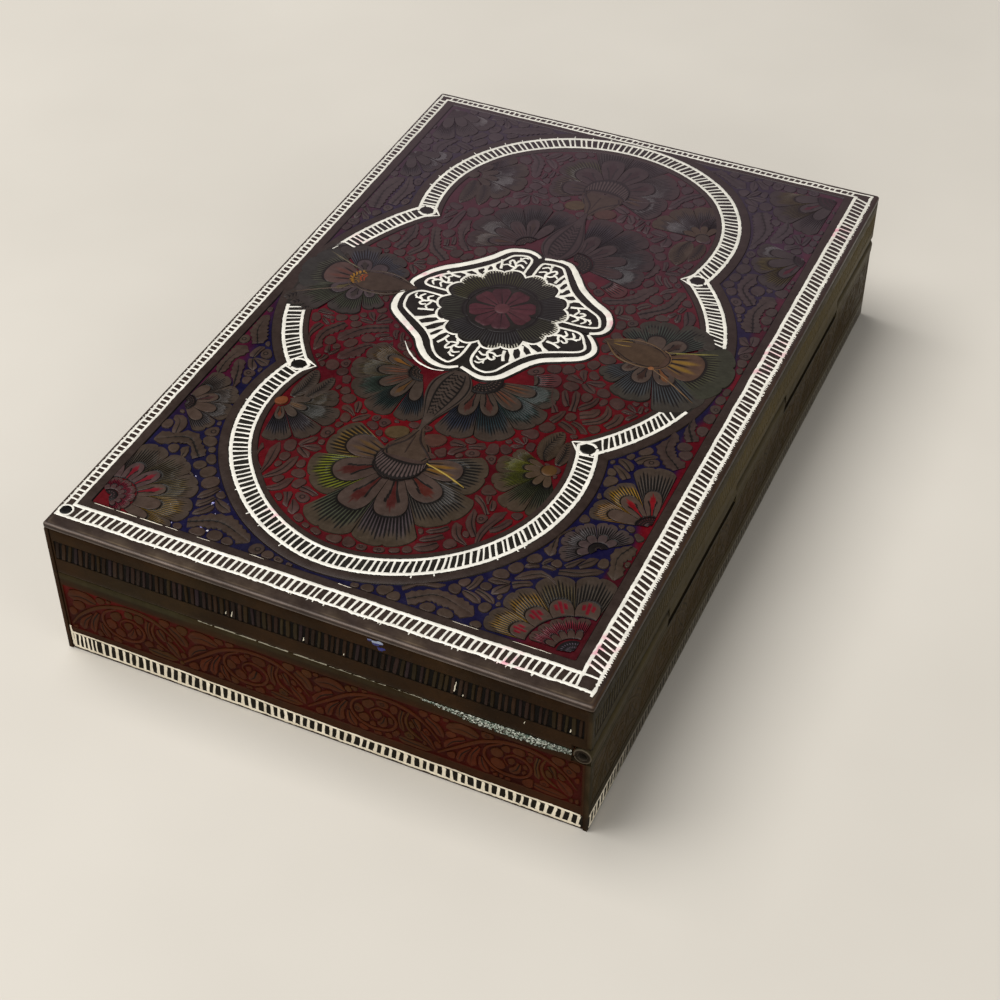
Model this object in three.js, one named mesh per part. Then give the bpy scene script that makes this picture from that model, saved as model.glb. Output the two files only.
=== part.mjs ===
// Hinged flat table box for cigarettes: a shallow rectangular case of sheet
// metal with a wood lining, and a lid that turns on a flush barrel hinge let
// into one long side. Millimetres, +Z up. The origin is at the middle of the
// underside; X runs across the short side, Y along the long side, and the
// hinge runs along the +X side.

import * as THREE from 'three';

// ---- driving dimensions ---------------------------------------------------
const WIDTH = 100;            // outside, across the short side (X)
const LENGTH = 154;           // outside, along the long side (Y)
const HEIGHT = 30;            // outside, closed (Z)
const SHEET = 1.0;            // wall sheet thickness
const TOP_SHEET = 1.2;        // lid plate thickness
const FLOOR_SHEET = 1.0;      // base plate thickness
const BASE_RIM = 18.6;        // top edge of the base walls
const LID_RIM = 18.7;         // bottom edge of the lid walls, closed
const FIT = 0.05;             // gap between pieces soldered or glued together
const EDGE_ROUND = 0.4;       // rounding of the lid plate's edge

const HINGE_R = 1.6;          // outside radius of the hinge barrel
const HINGE_BORE_R = 0.75;    // bore of the barrel
const PIN_R = 0.69;           // hinge pin
const PIN_SET_BACK = 2.0;     // the pin ends this far inside the barrel
const HINGE_X = WIDTH / 2 - HINGE_R;   // the barrel is flush with the side
const HINGE_Z = 17.9;         // axis height
const HINGE_GAP = 0.5;        // clear gap past the barrel on the moving side
const KNUCKLE_GAP = 0.3;      // clear gap between neighbouring knuckles
const KNUCKLE_ENDS = [-77, -43, -9, 19, 52, 77];   // along Y; A B C D E

const FELT = 0.55;            // felt under the base
const WOOD = 2.5;             // lining strips
const BOARD = 2.0;            // lining boards
const WOOD_GAP = 0.3;         // lining to sheet, where the lid passes the lip
const LIP_TOP = 21.0;         // the base lining stands above the rim as a lip
const LID_WOOD_BOTTOM = 21.3; // underside of the lid lining strips
const HINGE_WOOD_X = 43.8;    // inner face of the lining on the hinge side
const HINGE_WOOD_LIP_X = 46.4; // outer face of its lip, clear of the barrel
const DIVIDER = 2.5;          // board between the two compartments
const DIVIDER_TOP = 18.9;

// ---- derived --------------------------------------------------------------
const X1 = WIDTH / 2, Y1 = LENGTH / 2;
const xi = X1 - SHEET, yi = Y1 - SHEET;          // inner faces of the walls
const plateBottom = HEIGHT - TOP_SHEET;          // underside of the lid plate
const lidWallTop = plateBottom - FIT;
const floorBottom = FELT + FIT, floorTop = floorBottom + FLOOR_SHEET;
const boardBottom = floorTop + FIT, boardTop = boardBottom + BOARD;
const lidBoardTop = plateBottom - FIT, lidBoardBottom = lidBoardTop - BOARD;
const xw = xi - WOOD_GAP, yw = yi - WOOD_GAP;    // outer faces of the lining
const notchX = HINGE_X - HINGE_R - 0.3;          // end walls are cut back here
const notchLow = HINGE_Z - HINGE_R - 0.3;
const notchHigh = HINGE_Z + HINGE_R + 0.3;

// ---- materials ------------------------------------------------------------
const paint = (color, roughness, metalness) =>
  new THREE.MeshStandardMaterial({ color, roughness, metalness });
const lacquer = () => paint(0x3c2d26, 0.42, 0.35);
const topLacquer = () => paint(0x4a2024, 0.36, 0.3);
const bareMetal = () => paint(0x6b625c, 0.45, 0.85);
const wood = () => paint(0xa9713f, 0.62, 0.0);
const felt = () => paint(0x1d3a2a, 0.95, 0.0);

// ---- helpers --------------------------------------------------------------
// A closed outline from a list of corner points.
function outline(points) {
  const s = new THREE.Shape();
  points.forEach(([a, b], i) => (i ? s.lineTo(a, b) : s.moveTo(a, b)));
  s.closePath();
  return s;
}

// Outline in X and Z, with its thickness from y0 to y1.
const BASIS_XZ = new THREE.Matrix4().makeBasis(
  new THREE.Vector3(1, 0, 0), new THREE.Vector3(0, 0, 1), new THREE.Vector3(0, -1, 0));
function slabXZ(shape, y0, y1) {
  const g = new THREE.ExtrudeGeometry(shape, { depth: y1 - y0, bevelEnabled: false, curveSegments: 16 });
  g.applyMatrix4(BASIS_XZ);
  g.translate(0, y1, 0);
  return g;
}

// Outline in Y and Z, with its thickness from x0 to x1.
const BASIS_YZ = new THREE.Matrix4().makeBasis(
  new THREE.Vector3(0, 1, 0), new THREE.Vector3(0, 0, 1), new THREE.Vector3(1, 0, 0));
function slabYZ(shape, x0, x1) {
  const g = new THREE.ExtrudeGeometry(shape, { depth: x1 - x0, bevelEnabled: false, curveSegments: 16 });
  g.applyMatrix4(BASIS_YZ);
  g.translate(x0, 0, 0);
  return g;
}

// Flat board from x0..x1 and y0..y1, with small rounded corners in plan.
function board(x0, x1, y0, y1, z0, z1, r) {
  const s = new THREE.Shape();
  s.moveTo(x0 + r, y0);
  s.lineTo(x1 - r, y0);
  s.absarc(x1 - r, y0 + r, r, -Math.PI / 2, 0, false);
  s.lineTo(x1, y1 - r);
  s.absarc(x1 - r, y1 - r, r, 0, Math.PI / 2, false);
  s.lineTo(x0 + r, y1);
  s.absarc(x0 + r, y1 - r, r, Math.PI / 2, Math.PI, false);
  s.lineTo(x0, y0 + r);
  s.absarc(x0 + r, y0 + r, r, Math.PI, Math.PI * 1.5, false);
  const g = new THREE.ExtrudeGeometry(s, { depth: z1 - z0, bevelEnabled: false, curveSegments: 5 });
  g.translate(0, 0, z0);
  return g;
}

const box = new THREE.Group();
const lid = new THREE.Group();
const base = new THREE.Group();
box.add(base, lid);

function piece(group, name, geometry, material) {
  const m = new THREE.Mesh(geometry, material);
  m.name = name;
  group.add(m);
  return m;
}

// ---- lid ------------------------------------------------------------------
// Plate: its upper edge is rounded all round by a small bevel.
{
  const r = EDGE_ROUND;
  const s = outline([[-X1 + r, -Y1 + r], [X1 - r, -Y1 + r], [X1 - r, Y1 - r], [-X1 + r, Y1 - r]]);
  const top = new THREE.ExtrudeGeometry(s, {
    depth: TOP_SHEET - 2 * r, bevelEnabled: true, bevelThickness: r, bevelSize: r, bevelSegments: 4, steps: 1,
  });
  top.translate(0, 0, plateBottom + r);
  piece(lid, 'lid_top_plate', top, topLacquer());
}

// End walls, cut back round the barrel at the hinge corner.
const lidEnd = () => outline([
  [-xi + FIT, LID_RIM], [notchX, LID_RIM], [notchX, notchHigh], [xi - FIT, notchHigh],
  [xi - FIT, lidWallTop], [-xi + FIT, lidWallTop],
]);
piece(lid, 'lid_front_wall', slabXZ(lidEnd(), -Y1, -yi), lacquer());
piece(lid, 'lid_rear_wall', slabXZ(lidEnd(), yi, Y1), lacquer());

piece(lid, 'lid_left_wall', slabYZ(outline([
  [-Y1, LID_RIM], [Y1, LID_RIM], [Y1, lidWallTop], [-Y1, lidWallTop],
]), -X1, -xi), lacquer());

// Hinge wall: it reaches down to the lid's own knuckles (B, D) and is cut
// away above the base's knuckles (A, C, E).
const wallToBarrel = FIT;
{
  const hi = HINGE_Z + HINGE_R + HINGE_GAP, lo = HINGE_Z + HINGE_R + wallToBarrel;
  const [a, b, c, d, e, f] = KNUCKLE_ENDS;
  piece(lid, 'lid_hinge_wall', slabYZ(outline([
    [a, hi], [b, hi], [b, lo], [c, lo], [c, hi], [d, hi], [d, lo], [e, lo], [e, hi], [f, hi],
    [f, lidWallTop], [a, lidWallTop],
  ]), xi, X1), lacquer());
}

// Wood lining of the lid: a board under the plate and four strips.
piece(lid, 'lid_lining_board', board(-xw, xw, -yw, yw, lidBoardBottom, lidBoardTop, 0.4), wood());
const lidStripTop = lidBoardBottom - FIT;
piece(lid, 'lid_lining_left', board(-xw, -xw + WOOD, -yw, yw, LID_WOOD_BOTTOM, lidStripTop, 0.2), wood());
piece(lid, 'lid_lining_hinge', board(HINGE_WOOD_X, xw, -yw, yw, LID_WOOD_BOTTOM, lidStripTop, 0.2), wood());
piece(lid, 'lid_lining_front', board(-xw + WOOD + FIT, HINGE_WOOD_X - FIT, -yw, -yw + WOOD,
  LID_WOOD_BOTTOM, lidStripTop, 0.2), wood());
piece(lid, 'lid_lining_rear', board(-xw + WOOD + FIT, HINGE_WOOD_X - FIT, yw - WOOD, yw,
  LID_WOOD_BOTTOM, lidStripTop, 0.2), wood());

// ---- base -----------------------------------------------------------------
const baseEnd = () => outline([
  [-xi + FIT, 0], [xi - FIT, 0], [xi - FIT, notchLow], [notchX, notchLow], [notchX, BASE_RIM],
  [-xi + FIT, BASE_RIM],
]);
piece(base, 'base_front_wall', slabXZ(baseEnd(), -Y1, -yi), lacquer());
piece(base, 'base_rear_wall', slabXZ(baseEnd(), yi, Y1), lacquer());

piece(base, 'base_left_wall', slabYZ(outline([
  [-Y1, 0], [Y1, 0], [Y1, BASE_RIM], [-Y1, BASE_RIM],
]), -X1, -xi), lacquer());

// Hinge wall: it reaches up to the base's own knuckles (A, C, E) and is cut
// away below the lid's knuckles (B, D).
{
  const hi = HINGE_Z - HINGE_R - wallToBarrel, lo = HINGE_Z - HINGE_R - HINGE_GAP;
  const [a, b, c, d, e, f] = KNUCKLE_ENDS;
  piece(base, 'base_hinge_wall', slabYZ(outline([
    [a, 0], [f, 0], [f, hi], [e, hi], [e, lo], [d, lo], [d, hi], [c, hi], [c, lo], [b, lo], [b, hi], [a, hi],
  ]), xi, X1), lacquer());
}

piece(base, 'base_floor_plate', board(-xi + FIT, xi - FIT, -yi + FIT, yi - FIT, floorBottom, floorTop, 0.2), bareMetal());
piece(base, 'base_felt', board(-xi + 0.15, xi - 0.15, -yi + 0.15, yi - 0.15, 0, FELT, 0.6), felt());

// Wood lining of the base: a floor board, four strips whose upper part is the
// lip that the lid closes over, and a divider between the two compartments.
piece(base, 'base_lining_board', board(-xw, xw, -yw, yw, boardBottom, boardTop, 0.4), wood());
const stripBottom = boardTop + FIT;
{
  // Strip in section: its upper inner edge is chamfered, and the lip is rebated
  // on the hinge side to clear the barrel.
  const c = 0.5;
  piece(base, 'base_lining_left', slabXZ(outline([
    [-xw, stripBottom], [-xw + WOOD, stripBottom], [-xw + WOOD, LIP_TOP - c], [-xw + WOOD - c, LIP_TOP],
    [-xw + c * 0.6, LIP_TOP], [-xw, LIP_TOP - c * 0.6],
  ]), -yw, yw), wood());
  const rebate = notchLow - 0.3;
  piece(base, 'base_lining_hinge', slabXZ(outline([
    [HINGE_WOOD_X, stripBottom], [xw, stripBottom], [xw, rebate], [HINGE_WOOD_LIP_X, rebate],
    [HINGE_WOOD_LIP_X, LIP_TOP - c * 0.6], [HINGE_WOOD_LIP_X - c * 0.6, LIP_TOP],
    [HINGE_WOOD_X + c, LIP_TOP], [HINGE_WOOD_X, LIP_TOP - c],
  ]), -yw, yw), wood());
  const strip = (s) => slabYZ(outline([
    [s * yw, stripBottom], [s * (yw - WOOD), stripBottom], [s * (yw - WOOD), LIP_TOP - c],
    [s * (yw - WOOD + c), LIP_TOP], [s * (yw - c * 0.6), LIP_TOP], [s * yw, LIP_TOP - c * 0.6],
  ]), -xw + WOOD + FIT, HINGE_WOOD_X - FIT);
  piece(base, 'base_lining_front', strip(-1), wood());
  piece(base, 'base_lining_rear', strip(1), wood());
  piece(base, 'base_divider', slabYZ(outline([
    [-DIVIDER / 2, stripBottom], [DIVIDER / 2, stripBottom], [DIVIDER / 2, DIVIDER_TOP - c],
    [DIVIDER / 2 - c, DIVIDER_TOP], [-DIVIDER / 2 + c, DIVIDER_TOP], [-DIVIDER / 2, DIVIDER_TOP - c],
  ]), -xw + WOOD + FIT, HINGE_WOOD_X - FIT), wood());
}

// ---- hinge ----------------------------------------------------------------
// Five tube knuckles in line, three on the base and two on the lid, and one
// pin through them all, set back from both ends of the barrel.
function tube(y0, y1, rOut, rIn) {
  const s = new THREE.Shape();
  s.absarc(HINGE_X, HINGE_Z, rOut, 0, Math.PI * 2, false);
  if (rIn > 0) {
    const h = new THREE.Path();
    h.absarc(HINGE_X, HINGE_Z, rIn, 0, Math.PI * 2, true);
    s.holes.push(h);
  }
  return slabXZ(s, y0, y1);
}
const knuckles = [
  ['hinge_knuckle_base_front', base], ['hinge_knuckle_lid_front', lid], ['hinge_knuckle_base_middle', base],
  ['hinge_knuckle_lid_rear', lid], ['hinge_knuckle_base_rear', base],
];
knuckles.forEach(([name, group], i) => {
  const y0 = KNUCKLE_ENDS[i] + (i === 0 ? 0 : KNUCKLE_GAP / 2);
  const y1 = KNUCKLE_ENDS[i + 1] - (i === 4 ? 0 : KNUCKLE_GAP / 2);
  piece(group, name, tube(y0, y1, HINGE_R, HINGE_BORE_R), bareMetal());
});
piece(base, 'hinge_pin', tube(-Y1 + PIN_SET_BACK, Y1 - PIN_SET_BACK, PIN_R, 0), bareMetal());

export default box;
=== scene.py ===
import math

import bpy
import numpy as np
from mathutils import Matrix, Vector


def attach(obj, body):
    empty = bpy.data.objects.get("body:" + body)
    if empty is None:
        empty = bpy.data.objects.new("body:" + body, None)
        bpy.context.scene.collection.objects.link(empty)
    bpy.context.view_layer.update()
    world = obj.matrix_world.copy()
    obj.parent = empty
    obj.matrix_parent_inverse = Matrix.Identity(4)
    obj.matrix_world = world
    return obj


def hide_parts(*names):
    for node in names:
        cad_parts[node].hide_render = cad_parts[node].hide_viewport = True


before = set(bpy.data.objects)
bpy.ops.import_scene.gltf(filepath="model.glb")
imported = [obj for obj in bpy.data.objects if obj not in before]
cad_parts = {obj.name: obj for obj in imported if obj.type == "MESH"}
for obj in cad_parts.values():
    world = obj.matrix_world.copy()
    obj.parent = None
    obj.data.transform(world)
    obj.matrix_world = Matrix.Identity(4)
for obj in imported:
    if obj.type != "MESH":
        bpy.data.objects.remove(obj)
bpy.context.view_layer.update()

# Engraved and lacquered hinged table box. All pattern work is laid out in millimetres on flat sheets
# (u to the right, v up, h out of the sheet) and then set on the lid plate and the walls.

MM = 0.001
rng = np.random.default_rng(1907)


# ------------------------------------------------------------------ colours
def srgb(r, g, b):
    c = np.array([r, g, b], float) / 255.0
    return np.where(c <= 0.04045, c / 12.92, ((c + 0.055) / 1.055) ** 2.4)


BROWN = srgb(80, 66, 57)
BROWN_D = srgb(66, 51, 44)
MARGIN = srgb(66, 52, 46)
MAUVE = srgb(78, 60, 60)
OLIVE = srgb(62, 62, 40)
GREEN = srgb(36, 50, 44)
# the near-black below is painted shade for the foot of steps, rims and walls
SHADE_AT_FOOT = srgb(22, 18, 18)
BLACK = srgb(13, 11, 11)
RED = srgb(130, 4, 18)
RED_D = srgb(80, 6, 18)
ORANGE = srgb(158, 78, 22)
GOLD = srgb(158, 122, 24)
YELLOW = srgb(176, 152, 30)
LIME = srgb(112, 116, 22)
PURPLE = srgb(46, 34, 74)
BLUE = srgb(21, 15, 62)
WHITE = srgb(236, 231, 219)
PINK = srgb(222, 120, 150)


def mixc(a, b, t):
    t = np.clip(np.asarray(t, float), 0, 1)[..., None]
    return a * (1 - t) + b * t


def sstep(a, b, x):
    t = np.clip((np.asarray(x, float) - a) / (b - a), 0, 1)
    return t * t * (3 - 2 * t)


def wob(x, y, seed, f=1.0, n=6):
    """Smooth noise, about -1..1, with a wavelength near 6/f."""
    r = np.random.default_rng(seed)
    s = 0.0
    for _ in range(n):
        a, k, ph = r.uniform(0, 2 * math.pi), f * r.uniform(0.6, 1.7), r.uniform(0, 2 * math.pi)
        s = s + np.sin(k * (x * math.cos(a) + y * math.sin(a)) + ph)
    return s / n * 1.7


# ------------------------------------------------------------------- curves
def P(px, py):
    """A place on the lid, in tenths of a millimetre from the far left corner region, as millimetres."""
    return np.array([px / 10 - 52.0, 78.86 - py / 10])


def PP(*pts):
    return np.array([P(*p) for p in pts])


def resample(c, n):
    d = np.r_[0, np.cumsum(np.hypot(*np.diff(c, axis=0).T))]
    s = np.linspace(0, d[-1], n)
    return np.c_[np.interp(s, d, c[:, 0]), np.interp(s, d, c[:, 1])]


def length(c):
    return float(np.hypot(*np.diff(c, axis=0).T).sum())


def spline(pts, n, closed=False):
    pts = np.asarray(pts, float)
    if len(pts) == 2:
        return resample(pts, n)
    if closed:
        q = np.vstack([pts[-1], pts, pts[0], pts[1]])
    else:
        q = np.vstack([2 * pts[0] - pts[1], pts, 2 * pts[-1] - pts[-2]])
    out = []
    t = np.linspace(0, 1, 14, endpoint=False)[:, None]
    for i in range(1, len(q) - 2):
        a, b, c, d = q[i - 1], q[i], q[i + 1], q[i + 2]
        out.append(0.5 * (2 * b + (c - a) * t + (2 * a - 5 * b + 4 * c - d) * t * t + (3 * b - a - 3 * c + d) * t ** 3))
    return resample(np.vstack(out + [q[-2][None]]), n)


def frame2(c, closed=False):
    """Unit tangents and left-hand normals of a polyline."""
    if closed:
        t = np.roll(c, -1, 0) - np.roll(c, 1, 0)
    else:
        t = np.gradient(c, axis=0)
    t = t / np.maximum(np.hypot(t[:, 0], t[:, 1]), 1e-9)[:, None]
    return t, np.c_[-t[:, 1], t[:, 0]]


def inside(poly, x, y):
    r = np.zeros(np.shape(x), bool)
    j = len(poly) - 1
    for i in range(len(poly)):
        xi, yi, xj, yj = poly[i][0], poly[i][1], poly[j][0], poly[j][1]
        if yi != yj:
            r ^= ((yi > y) != (yj > y)) & (x < (xj - xi) * (y - yi) / (yj - yi) + xi)
        j = i
    return r


# --------------------------------------------------------------- mesh store
class Relief:
    """Collects patches in (u, v, h) with a colour, a bare-metal value and a darkening value at every point: for the cut
    dark lines, and as painted shade at the foot of raised parts.
    """

    def __init__(self):
        self.v, self.c, self.k, self.i, self.q, self.g, self.n = [], [], [], [], [], [], 0

    def add(self, pts, col, kind, cut_dark_and_shade=0.0):
        m = len(pts)
        self.v.append(pts)
        self.c.append(np.broadcast_to(col, (m, 3)))
        self.k.append(np.broadcast_to(kind, (m,)))
        self.i.append(np.broadcast_to(cut_dark_and_shade, (m,)))
        self.n += m
        return self.n - m

    def grid(self, p, col, kind=0.0, loop=False, cap=False, cut_dark_and_shade=0.0):
        p = np.asarray(p, float)
        m, n = p.shape[:2]
        col = np.broadcast_to(col, (m, n, 3)).reshape(-1, 3)
        kind = np.broadcast_to(kind, (m, n)).reshape(-1)
        cut_dark_and_shade = np.broadcast_to(cut_dark_and_shade, (m, n)).reshape(-1)
        base = self.add(p.reshape(-1, 3), col, kind, cut_dark_and_shade)
        ix = np.arange(m * n).reshape(m, n)
        if loop:
            ix = np.concatenate([ix, ix[:, :1]], 1)
        q = np.stack([ix[:-1, :-1], ix[1:, :-1], ix[1:, 1:], ix[:-1, 1:]], -1).reshape(-1, 4)
        a = p.reshape(-1, 3)[q]
        d1, d2 = a[:, 2] - a[:, 0], a[:, 3] - a[:, 1]
        flip = (d1[:, 0] * d2[:, 1] - d1[:, 1] * d2[:, 0]).sum() < 0
        if flip:
            q = q[:, ::-1]
        self.q.append(q + base)
        if cap:  # closes the last ring of a looped patch
            ring = ix[-1, :-1] + base
            r = p[-1]
            s = (r[:, 0] * np.roll(r[:, 1], -1) - np.roll(r[:, 0], -1) * r[:, 1]).sum()
            self.g.append(list(ring if s > 0 else ring[::-1]))

    def quads(self, p, q, col, kind=0.0):
        base = self.add(np.asarray(p, float), col, kind)
        self.q.append(np.asarray(q, int) + base)

    def build(self, name, place, body, mat, rows=1, sharp=38.0, smooth=True):
        v, col, kind, cut_dark_and_shade = np.vstack(self.v), np.vstack(self.c), np.concatenate(self.k), np.concatenate(self.i)
        q = np.vstack(self.q) if self.q else np.zeros((0, 4), int)
        nq, ng = len(q), len(self.g)
        loops = np.concatenate([q.reshape(-1)] + [np.array(g) for g in self.g])
        used, loops = np.unique(loops, return_inverse=True)      # no loose points
        loops = loops.reshape(-1).astype(np.int32)
        v, col, kind, cut_dark_and_shade = v[used], col[used], kind[used], cut_dark_and_shade[used]
        world = place(v) * MM
        me = bpy.data.meshes.new(name)
        total = np.array([4] * nq + [len(g) for g in self.g], np.int32)
        start = np.r_[0, np.cumsum(total)[:-1]].astype(np.int32)
        me.vertices.add(len(v))
        me.vertices.foreach_set("co", world.astype(np.float32).reshape(-1))
        me.loops.add(len(loops))
        me.loops.foreach_set("vertex_index", loops)
        me.polygons.add(nq + ng)
        me.polygons.foreach_set("loop_start", start)
        me.polygons.foreach_set("loop_total", total)
        me.update(calc_edges=True)
        me.color_attributes.new("tint", "FLOAT_COLOR", "POINT").data.foreach_set("color", np.c_[col, np.ones(len(v))].astype(np.float32).reshape(-1))
        me.attributes.new("cut", "FLOAT", "POINT").data.foreach_set("value", kind.astype(np.float32))
        me.attributes.new("cut_dark_and_shade", "FLOAT", "POINT").data.foreach_set("value", cut_dark_and_shade.astype(np.float32))
        # a flat layout for baking: the sheet itself, cut into rows where it is long
        lo, hi = v[:, :2].min(0), v[:, :2].max(0)
        face = np.repeat(np.arange(nq + ng), total)
        w = (hi[0] - lo[0]) / rows + 1e-6
        mid = np.zeros(nq + ng)
        np.add.at(mid, face, v[loops, 0])
        row = np.clip(((mid / total) - lo[0]) // w, 0, rows - 1)[face]
        tall = hi[1] - lo[1] + 0.8
        side = max(w + 3.0, tall * rows)
        uv = np.c_[(v[loops, 0] - lo[0] - row * w + 1.5) / side, (v[loops, 1] - lo[1] + 0.4 + row * tall) / side]
        me.uv_layers.new(name="OFBake").data.foreach_set("uv", np.clip(uv, 0.0005, 0.9995).astype(np.float32).reshape(-1))
        me.polygons.foreach_set("use_smooth", [smooth] * (nq + ng))
        me.validate()
        if smooth:
            me.set_sharp_from_angle(angle=math.radians(sharp))
        me.materials.append(mat)
        ob = bpy.data.objects.new(name, me)
        bpy.context.collection.objects.link(ob)
        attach(ob, body)
        return ob


# ------------------------------------------------------------ relief pieces
H = 0.24          # height of the untouched surface over the cut-away ground


def blob(R, c, rad, tint=BROWN, h=H, ring=0.6, lift=0.0, rot=0.0):
    """A small flat berry with its own outline; rad holds a radius for each direction. A light cut ring marks the middle."""
    rad = np.asarray(rad, float)
    n = len(rad)
    a = rot + np.linspace(0, 2 * math.pi, n, endpoint=False)
    m = rad.mean()
    rs = [rad + 0.10, rad, rad * 0.84, 0.5 * m + 0.08 * rad, 0.30 * m + 0.04 * rad, np.full(n, 0.10 * m)]
    hs = [-0.03, 0.86 * h, h, 0.97 * h, (0.97 - 0.25 * min(1, ring)) * h, 0.98 * h]
    # the outer foot ring is painted darker, in colour and in the darkening value, as shade
    ks = [0.5, 0.86, 1.03, 1.0, 0.97, 1.02]
    ik = [0.35, 0.0, 0.0, 0.1, ring, 0.0]
    p = [np.c_[c[0] + r * np.cos(a), c[1] + r * np.sin(a), np.full(n, hh + (lift if hh > 0 else 0))] for r, hh in zip(rs, hs)]
    one = np.ones((1, n))
    R.grid(np.array(p), np.array([tint * k for k in ks])[:, None, :] * one[..., None], loop=True, cap=True, cut_dark_and_shade=np.array(ik)[:, None] * one)


def berry(R, c, rx, ry=None, rot=0.0, tint=BROWN, h=H, lift=0.0, n=14, ring=True):
    ry = rx if ry is None else ry
    a = np.linspace(0, 2 * math.pi, n, endpoint=False)
    e = 1 + 0.05 * np.sin(2 * a + rot * 3 + c[0]) + 0.03 * np.sin(3 * a + c[1])
    blob(R, c, e * rx * ry / np.hypot(ry * np.cos(a), rx * np.sin(a)), tint, h, 0.8 if ring else 0.0, lift, rot)


BELL_T = np.array([0.0, 0.08, 0.2, 0.35, 0.5, 0.65, 0.8, 0.92, 1.0])
BELL_W = np.array([0.30, 0.58, 0.84, 0.98, 1.0, 0.93, 0.74, 0.42, 0.03])


def blade(R, c, wl, wr, tint=BROWN, h=H, lift=0.0, mid=1.0, veins=0.0, chev=0.35, lobes=0.0):
    """A leaf on the midline c with a width on each side at every row; odd rows carry the cut veins."""
    n = len(c)
    L = max(length(c), 1e-6)
    t = np.linspace(0, 1, n)
    g = (np.arange(n) % 2).astype(float) * (1 if veins > 0 else 0)
    wl, wr = np.asarray(wl, float) * (1 - lobes * g), np.asarray(wr, float) * (1 - lobes * g)
    tg, nr = frame2(c)
    m = np.minimum(0.15, 0.3 * (wl + wr) / 2)
    off = np.stack([wl + 0.10, wl, wl * 0.80, wl * 0.45, m, np.zeros(n), -m, -wr * 0.45, -wr * 0.80, -wr, -wr - 0.10], 1)
    lag = np.array([0, 0.25, 0.5, 1, 1.6, 1.8, 1.6, 1, 0.5, 0.25, 0])[None, :] * (chev * np.minimum(wl, wr) * np.sin(math.pi * t) ** 0.5)[:, None] * (1 if veins > 0 else 0)
    hh = np.array([0, 0.88, 1.0, 1.0, 0.96, 0.96 - 0.2 * min(1, mid), 0.96, 1.0, 1.0, 0.88, 0])[None, :] * h * np.ones((n, 1))
    hh -= 0.28 * h * min(1.0, veins) * g[:, None] * np.array([0, 0.4, 0.9, 1, 0.3, 0, 0.3, 1, 0.9, 0.4, 0])[None, :]
    hh += lift
    hh[:, 0] = hh[:, -1] = -0.03
    hh[-1, :] = np.minimum(hh[-1, :], 0.03)
    hh[0, :] = np.minimum(hh[0, :], 0.5 * h + lift)
    # the foot columns are painted darker, in colour and in the darkening value, as shade
    sh = np.array([0.5, 0.88, 1.03, 1.0, 1.0, 0.95, 1.0, 1.0, 1.03, 0.88, 0.5])[None, :] * np.ones((n, 1))
    ik = np.zeros((n, 11))
    ik[:, 5] = mid * np.interp(t, [0, 0.1, 0.75, 1.0], [1.1, 1.2, 0.7, 0.3])
    ik[:, 4] = ik[:, 6] = 0.34 * ik[:, 5]
    ik += veins * g[:, None] * np.array([0, 0.15, 0.6, 1.0, 0.9, 0, 0.9, 1.0, 0.6, 0.15, 0])[None, :]
    ik[:, 0] = ik[:, -1] = 0.35
    x = c[:, :1] + nr[:, :1] * off - tg[:, :1] * lag
    y = c[:, 1:] + nr[:, 1:] * off - tg[:, 1:] * lag
    R.grid(np.stack([x, y, hh], -1), tint * sh[..., None], cut_dark_and_shade=ik)


def leaf(R, pts, w, tint=BROWN, h=H, lift=0.0, pitch=0.62, mid=1.0, veins=0.75, chev=0.5, lobes=0.10, **_):
    n = max(7, int(round(length(spline(pts, 24)) / pitch)) * 2 + 1)
    c = spline(pts, n)
    ww = w * np.interp(np.linspace(0, 1, n), BELL_T, BELL_W)
    blade(R, c, ww, ww, tint, h, lift, mid, veins, chev, lobes)


def ribbon(R, pts, w, tint=BROWN, h=H, lift=0.0, n=None, taper=(0.5, 0.2), groove=False, closed=False):
    """A narrow raised stem with bevelled sides."""
    c = spline(pts, n or max(6, int(length(np.asarray(pts, float)) / 0.7)), closed)
    if closed:
        c = c[:-1]
    n = len(c)
    t = np.linspace(0, 1, n)
    ww = np.full(n, w / 2.0)
    if not closed:
        ww = w / 2 * np.minimum(1, np.minimum(taper[0] + (1 - taper[0]) * t / 0.25, taper[1] + (1 - taper[1]) * (1 - t) / 0.25))
    tg, nr = frame2(c, closed)
    q = np.array([-1, -1, -0.55, 0, 0.55, 1, 1.0])
    off = q[None, :] * ww[:, None]
    off[:, 0] -= 0.09
    off[:, -1] += 0.09
    hh = np.array([0, 0.86, 1.0, 0.74 if groove else 1.02, 1.0, 0.86, 0])[None, :] * h * np.ones((n, 1)) + lift
    hh[:, 0] = hh[:, -1] = -0.03
    # the foot of the stem is painted darker as shade
    sh = np.array([0.5, 0.9, 1, 1, 1, 0.9, 0.5])
    ik = np.array([0.35, 0, 0.1, 1.0 if groove else 0, 0.1, 0, 0.35])
    p = np.stack([c[:, :1] + nr[:, :1] * off, c[:, 1:] + nr[:, 1:] * off, hh], -1)
    if closed:
        p = np.swapaxes(p, 0, 1)
        R.grid(p, tint * (sh[:, None, None] * np.ones((1, n, 1))), loop=True, cut_dark_and_shade=ik[:, None] * np.ones((1, n)))
    else:
        R.grid(p, tint * (sh[None, :, None] * np.ones((n, 1, 1))), cut_dark_and_shade=ik[None, :] * np.ones((n, 1)))


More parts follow.
